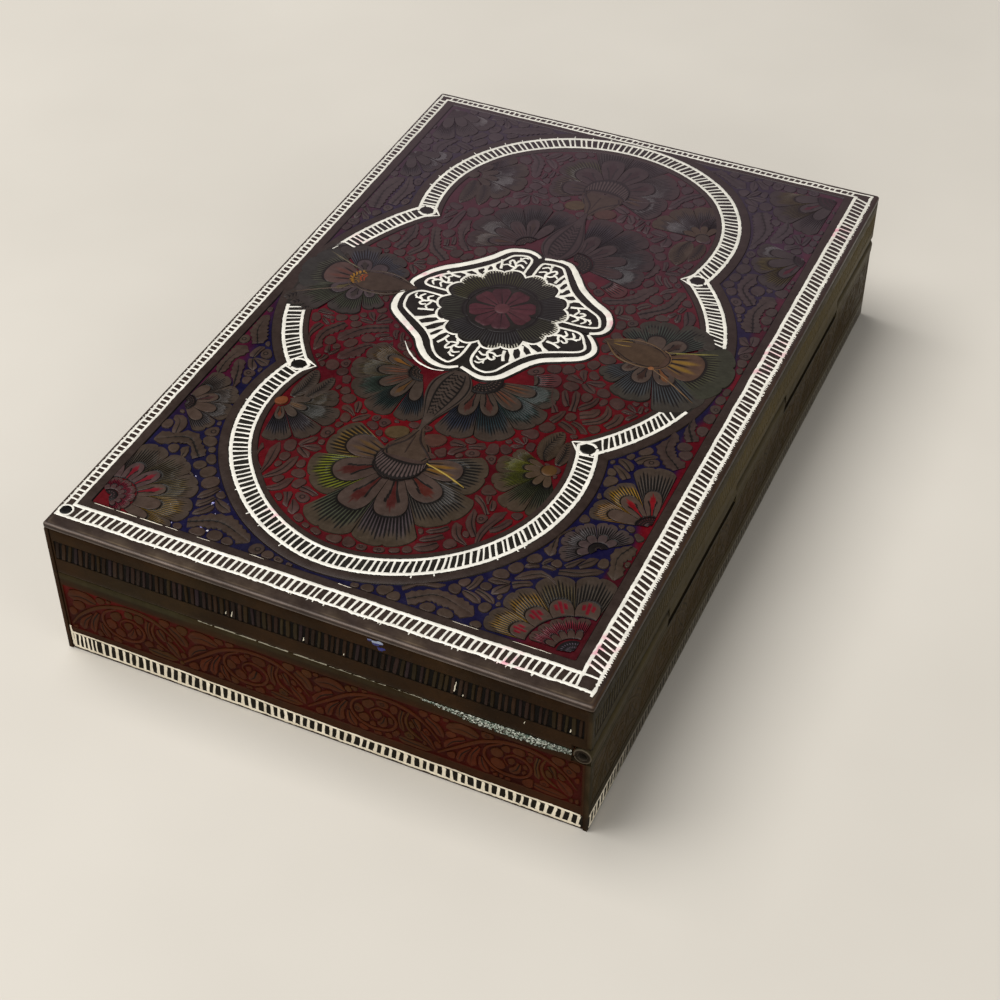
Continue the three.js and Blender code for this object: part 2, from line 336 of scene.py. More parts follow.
def dome(R, c, r, tint, base=H, rise=0.05, n=16, cut_dark_and_shade=0.0):
    a = np.linspace(0, 2 * math.pi, n, endpoint=False)
    p = [np.c_[c[0] + r * f * np.cos(a), c[1] + r * f * np.sin(a), np.full(n, base + hh)]
         for f, hh in ((1.12, -0.04), (1.0, rise * 0.5), (0.85, rise * 0.9), (0.45, rise), (0.12, rise))]
    # the foot ring is painted darker as shade
    R.grid(np.array(p), np.array([tint * 0.5, tint * 0.85, tint, tint, tint])[:, None, :] * np.ones((1, n, 1)), loop=True, cap=True,
           cut_dark_and_shade=np.array([0.5, cut_dark_and_shade, 0, cut_dark_and_shade, 0])[:, None] * np.ones((1, n)))


def petal(R, C, a, half, r0, r1, r2, lobe=BROWN, fringe=None, drop=None, lines=12, notch=0.4, scal=2, rim=BROWN,
          lo=0.0, hi=H, rnd=2.3, fade=0.72, streak=None, bend=0.0, room=None, heavy=1.75, mark="drop"):
    """One petal of a flower: a smooth inner lobe, a cut line, and a hatched fringe with a scalloped edge.
    C is the centre, a and half are degrees, lo and hi are the heights that it spans. fringe is the colour of the
    standing lines of the hatch, which end in the plain rim."""
    fringe = rim if fringe is None else fringe
    fringe = fringe * np.clip(0.085 / float(fringe @ np.array([0.2126, 0.7152, 0.0722])), 1.0, 2.2)
    n = lines * 2 + 1
    t = np.r_[-1.0, np.linspace(-0.962, 0.962, n), 1.0]
    m_ = len(t)
    hatch = np.r_[0, (np.arange(n) % 2).astype(float), 0]
    ang = np.radians(a + half * t)
    core = (1 - np.abs(t) ** rnd) ** (1 / rnd)
    rl = r0 + (r1 - r0) * core
    m = ((t + 1) / 2 * scal) % 1.0
    bump_ = np.sqrt(np.clip(1 - (2 * m - 1) ** 2, 0, 1))
    bump_[0] = bump_[-1] = 0
    re = r2 * (1 - 0.07 * t * t) - notch * (1 - bump_) ** 1.4 - notch * 0.5 * np.abs(t) ** 8
    re = np.maximum(re, rl + 0.35)
    span = hi - lo
    edge = (np.abs(t) > 0.99).astype(float)
    near = sstep(0.86, 0.975, np.abs(t))
    one = np.ones(m_)
    rows, hs, cs, ik = [], [], [], []

    def row(r, hh, col, cut_dark_and_shade):
        rows.append(r)
        hs.append(hh * (1 - edge) + 0.16 * edge)
        # the side columns, sunk between petals, are painted 25% darker as shade
        cs.append(np.broadcast_to(col, (m_, 3)) * (1 - 0.25 * edge)[:, None])
        ik.append(np.maximum(cut_dark_and_shade * one, 1.15 * edge))
    jit = 0.07 * np.sin(t * 9) + 0.06 * np.sin(t * 31 + a)
    for s in (0, 0.12, 0.24, 0.36, 0.48, 0.60, 0.72, 0.84, 0.95):
        hh = 0.97 - 0.08 * near - (0.3 if s == 0 else 0)
        col = lobe * (0.93 + 0.09 * s)
        cut_dark_and_shade = np.full(m_, 0.9 if s == 0 else 0.0)
        if streak is not None:
            k = np.clip(1.5 * np.abs(np.sin(t * 6.0)) ** 3 - 0.9 * max(0.0, (s - 0.5) / 0.25), 0, 1) * (np.abs(t) < 0.72) * (s > 0.05)
            col = mixc(col * np.ones((m_, 1)), streak, 0.9 * k)
            side = np.clip(1.1 * np.abs(np.cos(t * 6.0)) ** 6 - 1.4 * max(0.0, s - 0.3), 0, 1) * (np.abs(t) < 0.8)
            cut_dark_and_shade = np.maximum(cut_dark_and_shade, 0.8 * side)
            hh = hh - 0.18 * k
        if drop is not None:
            if mark == "trident":
                k = (np.abs(t) < 0.13) * (s > 0.2) * (s < 0.9) + ((np.abs(t) > 0.24) & (np.abs(t) < 0.46)) * (s > 0.42) * (s < 0.80)
                k = np.clip(k.astype(float), 0, 1)
                out = np.zeros(m_)
            else:
                wd = np.interp(s, [0.0, 0.1, 0.35, 0.55, 0.68, 0.80, 0.86], [0.10, 0.12, 0.17, 0.30, 0.30, 0.12, 0.0])
                k = (np.abs(t) < wd).astype(float)
                out = ((np.abs(t) >= wd) & (np.abs(t) < wd + 0.15)).astype(float) * (s < 0.62) * 0.95
            col = mixc(col * np.ones((m_, 1)), drop, 0.95 * k)
            cut_dark_and_shade = np.maximum(cut_dark_and_shade, out)
            hh = hh - 0.2 * np.maximum(k, out)
        row(r0 + (rl - r0) * s, hh * one, col, cut_dark_and_shade)
    row(rl - 0.01, 0.86 * one, lobe, 0.15)
    row(rl + 0.09, 0.30 * one, lobe, 1.25)
    row(rl + 0.22, np.where(hatch > 0, 0.30, 0.62), fringe, np.where(hatch > 0, 1.6, 0.85))
    for f in (0.08, 0.2, 0.34, 0.48, 0.62, 0.75, 0.87):
        g = np.interp(f + jit, [0, 0.5 * fade, 0.85 * fade, fade, fade + 0.08, 2], [heavy, 0.8 * heavy, 0.55 * heavy, 0.62, 0.3, 0.0])
        near_lobe = max(0.0, 0.42 - f * 3.5)
        cut_dark_and_shade = np.where(hatch > 0, g, near_lobe)
        col = mixc(fringe * np.ones((m_, 1)), rim, sstep(0.55 * fade, fade + 0.05, f + jit))
        row(rl + 0.22 + (re - rl - 0.22) * f, 0.96 - 0.6 * hatch * np.clip(g / heavy, 0, 1) - 0.08 * near, col, cut_dark_and_shade)
    row(re, 0.88 * one, rim * 0.96, 0.0)
    # the foot row, painted dark as shade
    rows.append(re + 0.10)
    hs.append(np.full(m_, -1.0))
    cs.append(np.broadcast_to(rim * 0.5, (m_, 3)))
    ik.append(np.full(m_, 0.35))
    rr, hh = np.array(rows), np.array(hs)
    sw = bend * (rr - r0) / max(r2 - r0, 1e-6)
    aa = ang[None, :] + np.radians(sw)
    z = np.where(hh < -0.5, -0.03, lo + np.maximum(hh, 0) * span)
    p = np.stack([C[0] + rr * np.cos(aa), C[1] + rr * np.sin(aa), z], -1)
    R.grid(p, np.array(cs), cut_dark_and_shade=np.array(ik))
    if room is not None:
        out = np.c_[C[0] + (rr[-2] + 0.1) * np.cos(aa[-2]), C[1] + (rr[-2] + 0.1) * np.sin(aa[-2])]
        room.stamp(np.vstack([np.array([[C[0], C[1]]]), out]), 0.30)


def core_hatch(R, C, a0, a1, r0, r1, tint=BROWN, lines=14, rings=6, lo=0.0, hi=H, shape=1.0):
    """A cross-hatched disc or half disc."""
    na, nr = lines * 2 + 1, rings * 2 + 1
    a = np.radians(np.linspace(a0, a1, na))
    full = abs(abs(a1 - a0) - 360) < 1e-3
    if full:
        a = a[:-1]
        na -= 1
    r = np.linspace(r0, r1, nr)
    ga, gr = (np.arange(na) % 2).astype(float), (np.arange(nr) % 2).astype(float)
    g = np.maximum(ga[None, :] * np.ones((nr, 1)), 0.8 * gr[:, None] * np.ones((1, na)))
    hh = lo + (hi - lo) * (0.98 - 0.34 * g)
    hh[-1, :] = lo + 0.35 * (hi - lo)
    ik = 1.15 * g
    ik[-1, :] = 1.3
    x = C[0] + r[:, None] * np.cos(a)[None, :]
    y = C[1] + r[:, None] * np.sin(a)[None, :] * shape
    R.grid(np.stack([x, y, hh], -1), np.broadcast_to(tint, hh.shape + (3,)), loop=full, cap=full, cut_dark_and_shade=ik)


def ruled(R, A, B, tint, lines=10, lo=0.0, hi=H, rows=7, hatch=0.4, cross=0.55, deep=1.3):
    """A hatched patch between two curves, with lighter cross lines."""
    n = lines * 2 + 1
    A, B = resample(np.asarray(A, float), n), resample(np.asarray(B, float), n)
    s = np.linspace(0, 1, rows)[:, None, None]
    xy = A[None] * (1 - s) + B[None] * s
    g = (np.arange(n) % 2)[None, :] * np.ones((rows, 1))
    e = np.abs(np.linspace(-1, 1, rows))[:, None] ** 3
    cr = (np.arange(rows) % 2)[:, None] * np.ones((1, n))
    hh = lo + (hi - lo) * (0.97 - hatch * g - 0.15 * e - 0.1 * cr)
    hh[:, 0] = hh[:, -1] = lo
    hh[0, :] = hh[-1, :] = lo + 0.3 * (hi - lo)
    ik = np.maximum(deep * g, cross * cr)
    ik[0, :] = ik[-1, :] = 1.1
    R.grid(np.concatenate([xy, hh[..., None]], -1), np.broadcast_to(tint, hh.shape + (3,)), cut_dark_and_shade=ik)


def bud(R, pts, ws, tint=BROWN, lo=0.0, hi=H, scales=True, pitch=1.05, q0=0.5):
    """A closed bud: a dark cut outline, a smooth rim and rows of small scales up the middle."""
    c = spline(pts, 81)
    d = np.linspace(0, 1, 81)
    ww = np.interp(d, np.linspace(0, 1, len(ws)), ws)
    ww = np.convolve(np.pad(ww, 3, "edge"), np.ones(7) / 7, "valid")
    tg, nr = frame2(c)
    q = np.array([-1.0, -1.0, -0.95, -0.88, -0.80, -0.62, -0.5, -0.38, -0.25, -0.12, 0, 0.12, 0.25, 0.38, 0.5, 0.62, 0.80, 0.88, 0.95, 1.0, 1.0])
    off = q[None, :] * ww[:, None]
    off[:, 0] -= 0.12
    off[:, -1] += 0.12
    qq = np.abs(q)
    hh = np.interp(qq, [0, 0.45, 0.80, 0.88, 0.95, 1.0], [1.0, 0.99, 0.96, 0.75, 0.9, 0.82])[None, :] * np.ones((81, 1))
    ik = np.interp(qq, [0, 0.80, 0.88, 0.95, 1.0], [0, 0.1, 1.0, 0.15, 0.2])[None, :] * np.ones((81, 1))
    if scales:
        L = length(c)
        ph = (d[:, None] * L / pitch + 0.5 * (np.sin(qq[None, :] / q0 * math.pi * 2.5)) ** 2) % 1.0
        inb = (qq[None, :] < q0) & (d[:, None] > 0.07) & (d[:, None] < 0.72)
        hh -= np.where(inb, 0.30 * ph, 0)
        ik += np.where(inb & (ph > 0.6), 0.95, 0.0)
        rim = (np.abs(qq - 0.5) < 0.02)[None, :] & (d[:, None] > 0.05) & (d[:, None] < 0.75)
        ik += np.where(rim, 0.75, 0)
    z = lo + (hi - lo) * hh
    z[:, 0] = z[:, -1] = -0.03
    ik[:, 0] = ik[:, -1] = 0.8
    z[0, :] = z[-1, :] = lo + 0.1 * (hi - lo)
    p = np.stack([c[:, :1] + nr[:, :1] * off, c[:, 1:] + nr[:, 1:] * off, z], -1)
    R.grid(p, np.broadcast_to(tint, z.shape + (3,)), cut_dark_and_shade=ik)


# --------------------------------------------------------- bright-cut lines
def cut_tint(x, y):
    """White of the cut metal, unevenly bright and dimmer towards the rear and the left, with pink lacquer smudged over
    it in places.
    """
    k = 0.90 + 0.08 * wob(x, y, 5, 1.6) - 0.13 * sstep(8, 78, y) - 0.07 * sstep(-30, -50, x)
    col = WHITE * k[..., None]
    smudge = np.zeros(np.shape(x))
    for px, py, r in ((978, 600, 4.5), (975, 660, 3.2), (972, 1440, 5.0), (968, 180, 4.0), (301, 640, 3.4), (330, 828, 3.0),
                      (690, 640, 3.2), (832, 600, 2.4), (120, 600, 2.2), (372, 1372, 3.0), (860, 1525, 3.5)):
        c = P(px, py)
        d = np.hypot(x - c[0], y - c[1]) / r
        smudge = np.maximum(smudge, 0.75 * np.clip(1 - d, 0, 1) ** 0.7 * sstep(-0.1, 0.45, wob(x, y, 9, 2.3)))
    return mixc(col, PINK, smudge)


def stroke(R, pts, w, base=H, rise=0.06, step=0.45, rough=0.06, taper=(1.0, 1.0), closed=False, tint=None, kind=1.0, n=None, raw=False):
    c = np.asarray(pts, float)
    if not raw:
        L0 = length(c)
        c = spline(c, n or max(3, int(L0 / step) + 1), closed)
    if closed:
        c = c[:-1]
    n = len(c)
    tg, nr = frame2(c, closed)
    t = np.linspace(0, 1, n)
    if np.ndim(w):
        ww = np.interp(t, np.linspace(0, 1, len(w)), w) / 2
    else:
        ww = np.full(n, w / 2.0)
    if not closed:
        ww = ww * np.minimum(1, np.minimum(taper[0] + (1 - taper[0]) * t / 0.3, taper[1] + (1 - taper[1]) * (1 - t) / 0.3))
    jl, jr, jm = (rng.normal(0, rough, n) for _ in range(3))
    off = np.stack([-(ww + 0.02) + jl * 0.5, -ww * 0.5 + jm * 0.3, ww * 0.35 + jm * 0.3, ww + 0.02 + jr * 0.5], 1)
    off = np.sort(off, 1)
    hh = np.stack([np.full(n, base - 0.02), base + rise * (0.75 + rng.uniform(0, 0.2, n)), base + rise * (0.8 + rng.uniform(0, 0.2, n)), np.full(n, base - 0.02)], 1)
    p = np.stack([c[:, :1] + nr[:, :1] * off, c[:, 1:] + nr[:, 1:] * off, hh], -1)
    col = cut_tint(p[..., 0], p[..., 1]) if tint is None else np.broadcast_to(tint, (n, 4, 3)).copy()
    if closed:
        p, col = np.swapaxes(p, 0, 1), np.swapaxes(col, 0, 1)
    R.grid(p, col, kind, loop=closed)
    if not closed:  # the two blunt ends
        for i in (0, -1):
            e = p[i]
            o = tg[i] * (0.05 if i else -0.05)
            f = np.stack([e, np.c_[e[:, :2] + o, np.full(4, base - 0.02)]], 0)
            R.grid(f, np.stack([col[i], col[i]]), kind)


def rungs(R, A, B, w, base=H, rise=0.055, dark=None, over=0.0, tint=None):
    """Short cut strokes from the points A to the points B, each a tapered graver stroke."""
    n = len(A)
    k = np.array([0, 0.16, 0.5, 0.84, 1.0])
    jw = rng.uniform(0.80, 1.18, n)
    g = rng.uniform(-0.22, 0.22, n)[:, None]
    prof = np.array([1.30, 1.0, 0.86, 1.0, 1.30])[None] * (1 + g * (2 * k - 1)[None])
    d = B - A
    L = np.hypot(d[:, 0], d[:, 1])[:, None]
    t = d / L
    nr = np.c_[-t[:, 1], t[:, 0]]
    ext = np.zeros(n)
    if over > 0:
        ext = np.where(rng.uniform(0, 1, n) < 0.4, rng.uniform(0, over, n), 0)
    B = B + t * ext[:, None]
    c = A[:, None] + (B - A)[:, None] * k[None, :, None] + nr[:, None] * rng.normal(0, 0.03, (n, 5))[..., None]
    ww = prof * (w * jw)[:, None] / 2
    q = np.array([-1, -0.3, 0.45, 1.0])
    x = c[..., 0][..., None] + nr[:, 0][:, None, None] * ww[..., None] * q
    y = c[..., 1][..., None] + nr[:, 1][:, None, None] * ww[..., None] * q
    hz = np.zeros(x.shape) + base + rise
    hz[..., 0] = hz[..., 3] = base - 0.02
    hz[:, 0, :] = hz[:, -1, :] = base - 0.02
    p = np.stack([x, y, hz], -1)
    col = cut_tint(x, y) if tint is None else np.broadcast_to(tint, p.shape).copy()
    for i in range(n):
        R.grid(p[i], col[i], 1.0)


# --------------------------------------------------------------- room finder
class Room:
    """A fine raster of the places already taken, for setting small leaves and berries between the large motifs."""

    def __init__(self, x0, y0, x1, y1, res=0.14):
        self.x0, self.y0, self.res = x0, y0, res
        self.nx, self.ny = int((x1 - x0) / res) + 1, int((y1 - y0) / res) + 1
        self.X, self.Y = np.meshgrid(x0 + np.arange(self.nx) * res, y0 + np.arange(self.ny) * res)
        self.full = np.zeros(self.X.shape, bool)

    def window(self, lo, hi):
        i0, j0 = max(0, int((lo[0] - self.x0) / self.res)), max(0, int((lo[1] - self.y0) / self.res))
        i1, j1 = min(self.nx, int((hi[0] - self.x0) / self.res) + 2), min(self.ny, int((hi[1] - self.y0) / self.res) + 2)
        return slice(j0, max(j0, j1)), slice(i0, max(i0, i1))

    def stamp(self, poly, grow=0.0):
        poly = np.asarray(poly, float)
        w = self.window(poly.min(0) - grow - 0.1, poly.max(0) + grow + 0.1)
        x, y = self.X[w], self.Y[w]
        if not x.size:
            return
        m = inside(poly, x, y)
        if grow > 0:
            k = int(round(grow / self.res))
            pad = np.pad(m, k)
            out = np.zeros_like(m)
            for dy in range(-k, k + 1):
                for dx in range(-k, k + 1):
                    if dx * dx + dy * dy <= k * k + 0.5:
                        out |= pad[k + dy:k + dy + m.shape[0], k + dx:k + dx + m.shape[1]]
            m = out
        self.full[w] |= m

    def disc(self, c, r, sy=1.0, rot=0.0):
        w = self.window(np.asarray(c) - r * 1.5, np.asarray(c) + r * 1.5)
        x, y = self.X[w] - c[0], self.Y[w] - c[1]
        u, v = x * math.cos(rot) + y * math.sin(rot), (-x * math.sin(rot) + y * math.cos(rot)) / sy
        self.full[w] |= u * u + v * v < r * r

    def free(self, pts):
        i = ((pts[:, 0] - self.x0) / self.res + 0.5).astype(int)
        j = ((pts[:, 1] - self.y0) / self.res + 0.5).astype(int)
        if i.min() < 0 or j.min() < 0 or i.max() >= self.nx or j.max() >= self.ny:
            return False
        return not self.full[j, i].any()


def leaf_probe(pts, w, margin=0.0):
    c = spline(pts, 15)
    tg, nr = frame2(c)
    t = np.linspace(0, 1, 15)
    ww = (w * np.sin(math.pi * np.clip(t * 0.86 + 0.1, 0, 1)) ** 0.8 + margin)[:, None]
    ext = np.vstack([c, c + nr * ww, c - nr * ww, c + nr * ww * 0.5, c - nr * ww * 0.5, c[-1:] + tg[-1:] * margin])
    outline = np.vstack([c + nr * ww, (c - nr * ww)[::-1]])
    return ext, outline


class Cells:
    """Shares the free room out between midlines and points, so that leaves and berries grow until they nearly meet."""

    def __init__(self, room, full):
        self.room, self.full = room, full.copy()
        self.D = np.full(full.shape, 9.0)
        self.L = np.full(full.shape, -1, np.int32)
        self.items = []
        # distance to the nearest taken place, up to 1.6 mm
        self.E = np.full(full.shape, 1.6)
        m = self.full.copy()
        k = 0
        while k * room.res < 1.6:
            self.E[m & (self.E > k * room.res)] = k * room.res
            g = m.copy()
            g[1:] |= m[:-1]
            g[:-1] |= m[1:]
            g[:, 1:] |= m[:, :-1]
            g[:, :-1] |= m[:, 1:]
            if k % 2:
                g[1:, 1:] |= m[:-1, :-1]
                g[1:, :-1] |= m[:-1, 1:]
                g[:-1, 1:] |= m[1:, :-1]
                g[:-1, :-1] |= m[1:, 1:]
            m = g
            k += 1

    def at(self, pts):
        r = self.room
        i = ((pts[..., 0] - r.x0) / r.res + 0.5).astype(int)
        j = ((pts[..., 1] - r.y0) / r.res + 0.5).astype(int)
        ok = (i >= 0) & (j >= 0) & (i < r.nx) & (j < r.ny)
        return np.clip(j, 0, r.ny - 1), np.clip(i, 0, r.nx - 1), ok

    def open(self, pts, taken, edge):
        j, i, ok = self.at(pts)
        return bool(ok.all() and (self.D[j, i] > taken).all() and (self.E[j, i] > edge).all())

    def put(self, spine, w, reach, tint, kind):
        spine = np.asarray(spine, float)
        n = len(self.items)
        self.items.append((spine, w, reach, tint, kind))
        s = self.room.window(spine.min(0) - reach, spine.max(0) + reach)
        x, y = self.room.X[s], self.room.Y[s]
        d = np.full(x.shape, 9.0)
        if len(spine) == 1:
            d = np.hypot(x - spine[0, 0], y - spine[0, 1])
        else:
            for a, b in zip(spine[:-1], spine[1:]):
                v = b - a
                t = np.clip(((x - a[0]) * v[0] + (y - a[1]) * v[1]) / max(v @ v, 1e-9), 0, 1)
                d = np.minimum(d, np.hypot(x - a[0] - t * v[0], y - a[1] - t * v[1]))
        q = np.where(d < reach, d / w, 9.0)
        m = (q < self.D[s]) & ~self.full[s]
        self.D[s] = np.where(m, q, self.D[s])
        self.L[s] = np.where(m, n, self.L[s])

    def rays(self, n, p, v, most):
        """How far one can go from the points p in the directions v inside cell n."""
        st = np.arange(0.0, most + 0.05, 0.07)
        q = p[:, None] + v[:, None] * st[None, :, None]
        j, i, ok = self.at(q)
        good = ok & (self.L[j, i] == n)
        good[:, :3] |= True
        stop = np.argmin(good, 1)
        stop = np.where(good.all(1), len(st), stop)
        return np.minimum(st[np.clip(stop - 1, 0, len(st) - 1)], most)

    def draw(self, R, r, channel):
        for n, (spine, w, reach, tint, kind) in enumerate(self.items):
            if kind == "dot":
                K = 14
                a = np.linspace(0, 2 * math.pi, K, endpoint=False)
                v = np.c_[np.cos(a), np.sin(a)]
                rad = self.rays(n, np.repeat(spine, K, 0), v, reach) - channel / 2
                for _ in range(2):
                    rad = 0.5 * rad + 0.25 * (np.roll(rad, 1) + np.roll(rad, -1))
                rad = np.minimum(rad, 1.3 * np.median(rad))
                if rad.mean() < 0.28:
                    continue
                rad = np.maximum(rad, 0.12)
                blob(R, spine[0], rad, tint, ring=r.choice([0.0, 0.0, 0.0, 0.0, 0.0, 0.0, 0.7]) if rad.mean() > 0.6 else 0.0)
                continue
            tg, nr = frame2(spine)
            grow = self.rays(n, spine[-1:], tg[-1:], 0.9)[0] - channel / 2
            back = self.rays(n, spine[:1], -tg[:1], 0.7)[0] - channel / 2
            c = np.vstack([spine[:1] - tg[:1] * max(back, 0.0), spine, spine[-1:] + tg[-1:] * max(grow, 0.02)])
            L = length(c)
            big = kind == "veined"
            m = max(7, int(round(L / 1.25)) * 2 + 1) if big else 7
            c = spline(c, m)
            tg, nr = frame2(c)
            t = np.linspace(0, 1, m)
            bell = np.interp(t, BELL_T, BELL_W)
            wl = self.rays(n, c, nr, w * 2.0) - channel / 2
            wr = self.rays(n, c, -nr, w * 2.0) - channel / 2
            for _ in range(2):
                for arr in (wl, wr):
                    arr[1:-1] = 0.5 * arr[1:-1] + 0.25 * (arr[2:] + arr[:-2])
            wl, wr = np.maximum(wl, 0.14), np.maximum(wr, 0.14)
            wl, wr = np.minimum(wl, w * 1.9 * bell ** 0.8 + 0.02), np.minimum(wr, w * 1.9 * bell ** 0.8 + 0.02)
            blade(R, c, wl, wr, tint, mid=r.choice([0.8, 1.0, 1.1]), veins=0.32 if big else 0.0, lobes=0.20 if big else 0.0)


def sprig(c, a, s, r):
    """Midlines of a small spray: paired leaflets on a curved stem, a trefoil, or a curled pair."""
    d = np.array([math.cos(a), math.sin(a)])
    q = np.array([-d[1], d[0]])
    to = lambda x, y: c + d * x * s + q * y * s
    kind = r.integers(4)
    f = r.choice([-1, 1])
    out = []
    if kind == 0:
        for x, sd in ((-2.9, 1), (-2.4, -1), (-0.8, 1), (-0.3, -1), (1.2, 1), (1.7, -1)):
            out.append([to(x + 0.3, 0.35 * sd * f), to(x + 1.3, 1.25 * sd * f), to(x + 2.1, 2.5 * sd * f)])
        out.append([to(2.6, 0), to(3.8, 0.1 * f), to(5.0, 0.4 * f)])
    elif kind == 1:
        for ang in (-105, -52, 0, 52, 105):
            b = math.radians(ang)
            out.append([to(0.55 * math.cos(b), 0.55 * math.sin(b)), to(1.8 * math.cos(b), 1.8 * math.sin(b)), to(3.0 * math.cos(b) + 0.2, 3.0 * math.sin(b))])
    elif kind == 2:
        out.append([to(-3.0, 0.2 * f), to(-0.6, 1.2 * f), to(1.6, 0.5 * f), to(2.6, -0.9 * f)])
        out.append([to(-2.2, -1.7 * f), to(-0.6, -0.8 * f), to(0.6, -1.2 * f)])
        out.append([to(-0.4, 3.0 * f), to(1.4, 2.9 * f), to(3.0, 2.0 * f)])
    else:
        out.append([to(-2.8, 0), to(0, 0.45 * f), to(3.0, 0)])
        for x in (-1.9, 0.2):
            for sd in (1, -1):
                out.append([to(x, 1.4 * sd), to(x + 1.0, 1.9 * sd), to(x + 2.2, 2.5 * sd)])
    return kind, [np.array(o) for o in out]


def fill(R, room, full, flow, tint_at, seed, seeds=(), tries=1500, channel=0.42, scales=(1.05, 0.9, 0.75), dots=(1.45, 1.2, 0.95, 0.7)):
    r = np.random.default_rng(seed)
    cells = Cells(room, full)
    for pts, w in seeds:
        c = spline(pts, 9)
        cells.put(c, w, w * 2.0, tint_at(c[4][0], c[4][1]), "veined" if w > 1.2 else "leaf")
    ok = np.argwhere(~full)
    for sc in scales:
        for _ in range(tries):
            j, i = ok[r.integers(len(ok))]
            if cells.D[j, i] < 1.3 or cells.E[j, i] < 0.7:
                continue
            c = np.array([room.x0 + i * room.res, room.y0 + j * room.res])
            a = flow(c[0], c[1]) + r.normal(0, 0.6) + (math.pi if r.uniform() < 0.5 else 0)
            kind, lines = sprig(c, a, sc, r)
            lines = [spline(q, 6) for q in lines]
            good = [q for q in lines if cells.open(q, 1.25, 0.45)]
            if len(good) < min(len(lines), 3):
                continue
            tn = tint_at(c[0], c[1]) * r.uniform(0.92, 1.08)
            for q in good:
                w = (0.92 if kind != 2 else 1.05) * sc
                cells.put(q, w, w * 2.1, tn * r.uniform(0.95, 1.05), "leaf")
    for w in dots:
        for _ in range(tries * 3):
            j, i = ok[r.integers(len(ok))]
            if cells.D[j, i] < 1.45 or cells.E[j, i] < min(0.8, w * 0.55):
                continue
            c = np.array([[room.x0 + i * room.res, room.y0 + j * room.res]])
            cells.put(c, w * r.uniform(0.9, 1.1), w * 1.5, tint_at(c[0][0], c[0][1]) * r.uniform(0.92, 1.08), "dot")
    cells.draw(R, r, channel)
    return cells


# ------------------------------------------------------------ the lid plate
Z_GROUND = 29.62
FX0, FX1, FY0, FY1 = -45.5, 43.6, -68.94, 73.3        # the sunk field
BAND, RIM_OUT, RIM_IN = 4.05, 1.75, 1.0
MID = P(474, 693)                                     # middle of the medallion
# the four arcs of the cartouche: middle, and the radius of the band's outer edge at some angles, because the line is
# drawn by hand and isn't a true circle
ARCS = {"U": (np.array([-3.3, 41.0]), (-30, 32.2, -13, 32.4, -1, 32.7, 11, 33.4, 23, 34.0, 41, 34.4, 59, 33.9, 77, 33.4, 95, 33.1, 119, 33.1, 143, 33.3, 161, 33.0, 179, 32.4, 197, 32.0, 215, 31.8)),
        "L": (np.array([-2.5, 8.0]), (110, 41.7, 144, 41.4, 156, 41.1, 180, 42.0, 204, 42.9, 222, 43.4, 245, 43.7)),
        "D": (np.array([-1.75, -34.0]), (-215, 34.9, -199, 34.3, -187, 33.7, -175, 33.2, -157, 32.5, -139, 31.8, -127, 31.9, -109, 32.2, -97, 32.6, -85, 32.4, -73, 32.0, -55, 31.6, -31, 31.4, -7, 31.4, 11, 31.8, 23, 32.3, 40, 32.9)),
        "R": (np.array([-2.5, 8.0]), (-65, 43.2, -42, 43.1, -30, 43.1, -18, 43.1, 12, 41.5, 24, 41.0, 36, 40.4, 60, 40.0))}
TURN = {}
for k_, (c_, t_) in ARCS.items():
    a_ = np.arange(t_[0], t_[0] + 360, 1.0)
    v_ = np.interp(a_, t_[0::2], t_[1::2])
    for _ in range(2):
        v_ = np.convolve(np.pad(v_, 5, mode="edge"), np.ones(11) / 11, "valid")
    TURN[k_] = (t_[0], t_[-2], v_)


def reach(k, a):
    """Radius of the band's outer edge round the middle k, at the angle a in radians."""
    t0, t1, v = TURN[k]
    d = (np.degrees(a) - t0) % 360.0
    return np.interp(d, np.arange(360), v)


def off_arc(k, x, y):
    c = ARCS[k][0]
    return np.hypot(x - c[0], y - c[1]) - reach(k, np.arctan2(y - c[1], x - c[0]))


def cartouche(x, y):
    """Distance outwards from the outer edge of the band."""
    side = np.where(x > -2.5, off_arc("R", x, y), off_arc("L", x, y))
    return np.minimum(np.minimum(off_arc("U", x, y), off_arc("D", x, y)), side)


def at_arc(k, level, a):
    c = ARCS[k][0]
    r = reach(k, a) + level
    return np.stack([c[0] + r * np.cos(a), c[1] + r * np.sin(a)], -1)


def crossing(k, other, level, a0, a1):
    """Angle round k, between a0 and a1 degrees, where its line meets that of the other arc at the same level."""
    a = np.radians(np.linspace(a0, a1, 600))
    q = at_arc(k, level, a)
    d = off_arc(other, q[:, 0], q[:, 1]) - level
    i = int(np.argmax(np.sign(d[1:]) != np.sign(d[:-1])))
    return a[i] + (a[i + 1] - a[i]) * d[i] / (d[i] - d[i + 1])


def cusps(level):
    out = []
    for k, o, a0, a1 in (("U", "R", -45, 20), ("U", "L", 160, 225), ("D", "L", -230, -170), ("D", "R", -10, 50)):
        out.append(at_arc(k, level, np.array([crossing(k, o, level, a0, a1)]))[0])
    return out


def arc(k, level, p, q, n):
    """From p to q counter-clockwise round the middle k."""
    c = ARCS[k][0]
    a, b = math.atan2(*(p - c)[::-1]), math.atan2(*(q - c)[::-1])
    if b < a:
        b += 2 * math.pi
    return at_arc(k, level, np.linspace(a, b, n))


def arcs(level, ns=(290, 145, 310, 145)):
    a, b, c, d = cusps(level)
    return [arc("U", level, a, b, ns[0]), arc("L", level, b, c, ns[1]), arc("D", level, c, d, ns[2]), arc("R", level, d, a, ns[3])]


def ring(level):
    return np.vstack([a[:-1] for a in arcs(level)])


def top_place(v):
    return np.c_[v[:, 0], v[:, 1], Z_GROUND + v[:, 2]]


